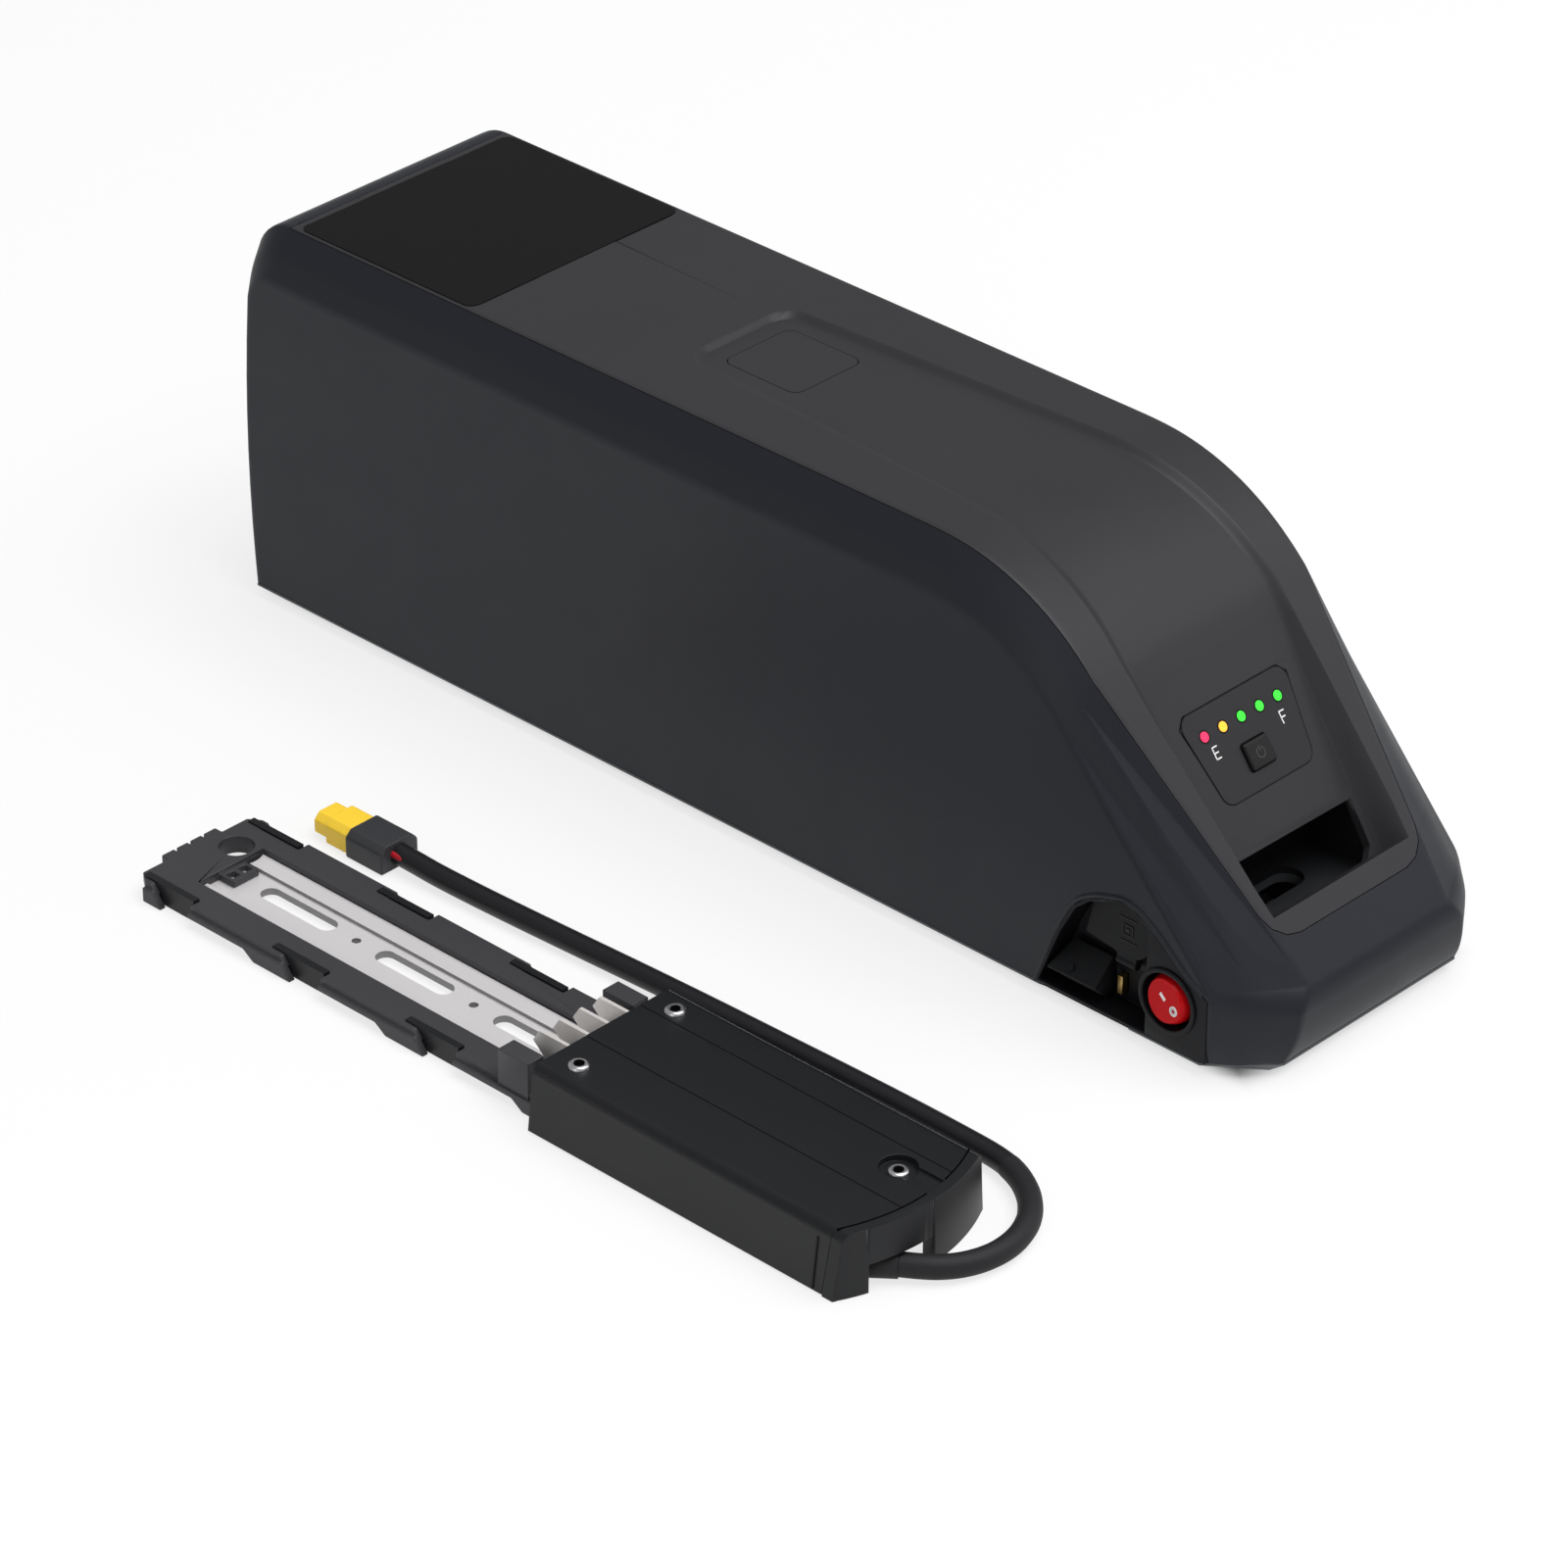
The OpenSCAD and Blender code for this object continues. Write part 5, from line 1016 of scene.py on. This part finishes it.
class BATTERY_OT_case(bpy.types.Operator):
    """Finish the case: side shell, covers, handle cup, label, badge and screws"""

    bl_idname = "battery.case"
    bl_label = "Case"
    bl_options = {"REGISTER", "UNDO"}

    def execute(self, context):
        s = context.scene.battery_case
        body = smooth_body(s.skin_inset / MM, s.crease_width / MM, s.crease_width / MM)
        zone = PACK_ORIGIN.x + (PORT_X + PORT_ZONE_LEFT) * MM

        def by_the_port(edge):
            inside = all(v.co.x > zone and v.co.y < PORT_ZONE_BACK * MM
                         and v.co.z < PORT_ZONE_TOP * MM for v in edge.verts)
            return 1.0 if inside else OTHER_EDGES

        within("side_shell", body, SHELL_EDGE * MM, by_the_port)
        within("top_cover", body, s.edge_width)
        bpy.data.objects.remove(body)
        # The bottom cover takes the foot strip's colour, lightened as painted floor light.
        edged("bottom_cover", material="strip_plastic")
        edged("handle_cup", s.edge_width)
        for node in ("label_plate", "badge_plate", "case_screws"):
            edged(node)
        return {"FINISHED"}


def gauge_frame():
    """Place of the gauge: X down the slope, Y across, Z out of the panel."""
    low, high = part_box("gauge_lens_low"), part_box("gauge_lens_half")
    first = (low[0] + low[1]) / 2
    pitch = ((high[0] + high[1]) / 2 - first).y
    tilt, middle = math.radians(GAUGE_TILT), Vector((0, LIGHTS // 2 * pitch, 0))
    down = Vector((math.cos(tilt), 0, -math.sin(tilt)))
    out = Vector((math.sin(tilt), 0, math.cos(tilt)))
    centre = first + middle + (out * LENS_DEPTH + down * LIGHT_ROW) * MM
    return facing(down, Vector((0, 1, 0)), out, centre)


class BATTERY_OT_gauge(bpy.types.Operator):
    """Finish the charge gauge and its button"""

    bl_idname = "battery.gauge"
    bl_label = "Gauge"
    bl_options = {"REGISTER", "UNDO"}

    def execute(self, context):
        place = gauge_frame()
        for node in ("gauge_panel", "gauge_lens_low", "gauge_lens_half", "gauge_lenses_full",
                     "power_button", "gauge_board"):
            edged(node)
        rim = fillet_outline(GAUGE_CORNERS, GAUGE_CORNER_R)
        film = sheet("gauge_film", place, rim, *FILM)
        hole = fillet_outline(BUTTON_CORNERS, BUTTON_CORNER_R)
        hole = sheet("film_hole", place, hole, *FILM_HOLE)
        finish_piece(boolean(film, "DIFFERENCE", hole), "pack", "gauge_plastic")
        bpy.data.objects.remove(hole)
        groove = [place @ (Vector((*p, GROOVE_UP)) * MM) for p in rim]
        finish_piece(tube(groove + groove[:1], GROOVE_R * MM, "gauge_groove"),
                     "pack", "gauge_plastic", "port_plastic")
        rings = [bar for k in range(LIGHTS)
                 for bar in ring_bars(-LIGHT_ROW, (k - LIGHTS // 2) * LIGHT_PITCH,
                                      LIGHT_RING_R, LIGHT_RING_W)]
        printed("light_rings", place @ raised(LIGHT_RING_UP), rings, PRINT_THICK,
                "pack", "gauge_plastic", "port_plastic")
        mark = ring_bars(*POWER_RING) + [POWER_STROKE]
        printed("power_mark", place @ raised(POWER_UP), mark, POWER_THICK,
                "power_button_body", "gauge_plastic", "grey_print")
        printed("gauge_letters", place @ raised(LETTERS_UP), LETTER_E + LETTER_F, PRINT_THICK,
                "pack", "gauge_plastic", "white_print")
        return {"FINISHED"}


class BATTERY_OT_ports(bpy.types.Operator):
    """Finish the port panel, the charging cap, the flap and the rocker switch"""

    bl_idname = "battery.ports"
    bl_label = "Ports and switch"
    bl_options = {"REGISTER", "UNDO"}

    def execute(self, context):
        for node in ("charge_socket", "charge_pin", "usb_socket", "fuse_contact", "switch_pivot",
                     "switch_tabs"):
            edged(node)
        for node in ("port_panel", "switch_bezel"):
            edged(node, material="port_plastic")
        for node in ("charge_cap", "usb_flap"):
            edged(node, material="lid_rubber")
        rocker = edged("rocker")
        low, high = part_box("rocker")
        middle = Matrix.Translation((low + high) / 2)
        narrower = Matrix.Diagonal((ROCKER_SCALE, 1, ROCKER_SCALE, 1))
        rocker.data.transform(middle @ narrower @ middle.inverted())
        up = raised(MARKS_UP)
        for name, place, bars in (("rocker_on_mark", ON_PLACE, [ON_STROKE]),
                                  ("rocker_off_mark", OFF_PLACE, ring_bars(*OFF_RING))):
            printed(name, seat("rocker", PACK_ORIGIN, *place) @ up, bars, ROCKER_THICK,
                    "rocker_body", "red_gloss", "white_print")
        printed("cap_mark", seat("charge_cap", PACK_ORIGIN, *CAP_PLACE) @ up, CHARGE_ICON,
                ICON_THICK, "charge_cap_body", "black_rubber", "black_rubber")
        arch = [PACK_ORIGIN + MM * Vector((PORT_X + u * PORT_LEN, PORT_FACE,
                                           PORT_LOW + v * PORT_HIGH)) for u, v in PORT_SHARES]
        finish_piece(tube(smooth_route(arch, ARCH_STEPS), PORT_RIM_R * MM, "port_rim"),
                     "pack", "side_plastic")
        return {"FINISHED"}


class BATTERY_OT_lock(bpy.types.Operator):
    """Finish the key lock"""

    bl_idname = "battery.lock"
    bl_label = "Lock"
    bl_options = {"REGISTER", "UNDO"}

    def execute(self, context):
        for node in ("lock_housing", "lock_bolt", "lock_barrel"):
            edged(node)
        return {"FINISHED"}


class BATTERY_OT_inside(bpy.types.Operator):
    """Finish the cells, the boards and the socket inside the case"""

    bl_idname = "battery.inside"
    bl_label = "Inside"
    bl_options = {"REGISTER", "UNDO"}

    def execute(self, context):
        dress(*(node for node in NODES if node.startswith("cell_bank")))
        dress("cell_holder_near", "cell_holder_far", "nickel_strips_near", "nickel_strips_far",
              "foam_pads", "bms_board", "bms_parts", "pack_leads", "discharge_socket",
              "discharge_clips")
        return {"FINISHED"}


class BATTERY_OT_base(bpy.types.Operator):
    """Finish the mounting rail, its plate and the blade contacts"""

    bl_idname = "battery.base"
    bl_label = "Mounting base"
    bl_options = {"REGISTER", "UNDO"}

    def execute(self, context):
        edged("base_rail", context.scene.battery_base.edge_width)
        for node in ("base_plate", "blade_block", "blade_contacts"):
            edged(node)
        # Dark blocks in the end cap's plastic fill the pockets behind the feet, as painted shade
        bm = bmesh.new()
        for side in (-1, 1):
            for start in POCKET_SHADE_STARTS:
                middle = on_base((start + POCKET_SHADE_SIZE[0] / 2, side * POCKET_SHADE_SIDE, POCKET_SHADE_Z))
                shape = Matrix.Diagonal((*(size * MM for size in POCKET_SHADE_SIZE), 1))
                bmesh.ops.create_cube(bm, size=1.0, matrix=Matrix.Translation(middle) @ shape)
        finish_piece(piece_from(bm, "rail_webs"), "base", "base_plastic", "cap_plastic")
        return {"FINISHED"}


class BATTERY_OT_controller(bpy.types.Operator):
    """Finish the controller box, its end cap and its screws"""

    bl_idname = "battery.controller"
    bl_label = "Controller box"
    bl_options = {"REGISTER", "UNDO"}

    def execute(self, context):
        dress("controller_board", "controller_parts")
        bar = smooth_bar()
        within("controller_cover", bar, BOX_EDGE * MM)
        within("end_cap", bar, BOX_EDGE * MM, material="cap_plastic")
        bpy.data.objects.remove(bar)
        for k, (first, last) in enumerate(CAP_ARC_TURNS):
            turns = [mix(first, last, step / CAP_ARC_STEPS) for step in range(CAP_ARC_STEPS + 1)]
            arc = [on_base((*arc_point(CAP_ARC_X, 0, CAP_ARC_R, angle), BOX_H - CAP_ARC_DROP))
                   for angle in turns]
            finish_piece(tube(arc, CAP_GROOVE_R * MM, "cap_groove_%d" % k),
                         "base", "base_plastic", "slot_black")
        self.screws()
        for k, (x, z, long, wide, thick, node, material) in enumerate(CLIP_LINES):
            printed("clip_line_%d" % k, seat(node, BASE_ORIGIN, x, z), [(0, 0, long, wide, 0)],
                    thick, "base", "cover_metal", material)
        return {"FINISHED"}

    def screws(self):
        """Pan heads with a round recess and a dark hexagon in it, on the heads of the source. The
        hexagon is painted shade of the socket.
        """
        bm = bmesh.new()
        for head in SCREW_HEADS:
            at = on_base(head)
            verts = [bm.verts.new(at + Vector((r, 0, h)) * MM) for r, h in HEAD_PROFILE]
            edges = [bm.edges.new(pair) for pair in zip(verts, verts[1:])]
            bmesh.ops.spin(bm, geom=verts + edges, cent=at, axis=(0, 0, 1), angle=math.tau,
                           steps=HEAD_STEPS, use_merge=True)
        bmesh.ops.remove_doubles(bm, verts=bm.verts, dist=1e-6)
        bmesh.ops.recalc_face_normals(bm, faces=bm.faces)
        for face in bm.faces:
            face.smooth = True
        for edge in bm.edges:
            edge.smooth = edge.calc_face_angle(0.0) < math.radians(HEAD_SHARP_TURN)
        stands_for(piece_from(bm, "screw_heads"), "cover_screw_set")
        hexagon = fillet_outline([arc_point(0, 0, SOCKET_R, 60 * k) for k in range(6)],
                                 SOCKET_CORNER_R, 2)
        # Dark hexagons in the recesses: painted shade of the sockets
        for k, head in enumerate(SCREW_HEADS):
            socket = sheet("screw_socket_%d" % k, Matrix.Translation(on_base(head)), hexagon,
                           SOCKET_LOW, SOCKET_HIGH, SOCKET_EDGE)
            finish_piece(socket, "base", "plated_steel", "slot_black")


class BATTERY_PT_panel(bpy.types.Panel):
    """The build steps and their settings."""

    bl_label = "Downtube battery"
    bl_idname = "BATTERY_PT_panel"
    bl_space_type = "VIEW_3D"
    bl_region_type = "UI"
    bl_category = "Battery"

    def draw(self, context):
        for step in STEPS:
            self.layout.operator("battery." + step)
        for name in GROUPS:
            group = getattr(context.scene, name)
            box = self.layout.box()
            for setting in group.__annotations__:
                box.prop(group, setting)


STEPS = ("finishes", "stage", "cable", "case", "gauge", "ports", "lock", "inside", "base",
         "controller")
GROUPS = {"battery_case": CaseSettings, "battery_base": BaseSettings,
          "battery_cable": CableSettings, "battery_stage": StageSettings}
CLASSES = (*GROUPS.values(), BATTERY_OT_finishes, BATTERY_OT_stage, BATTERY_OT_cable,
           BATTERY_OT_case, BATTERY_OT_gauge, BATTERY_OT_ports, BATTERY_OT_lock,
           BATTERY_OT_inside, BATTERY_OT_base, BATTERY_OT_controller, BATTERY_PT_panel)


def register():
    for cls in CLASSES:
        bpy.utils.register_class(cls)
    for name, group in GROUPS.items():
        setattr(bpy.types.Scene, name, PointerProperty(type=group))


def unregister():
    for name in GROUPS:
        delattr(bpy.types.Scene, name)
    for cls in reversed(CLASSES):
        bpy.utils.unregister_class(cls)


def main():
    register()
    for step in STEPS:
        getattr(bpy.ops.battery, step)()


if __name__ == "__main__":
    main()
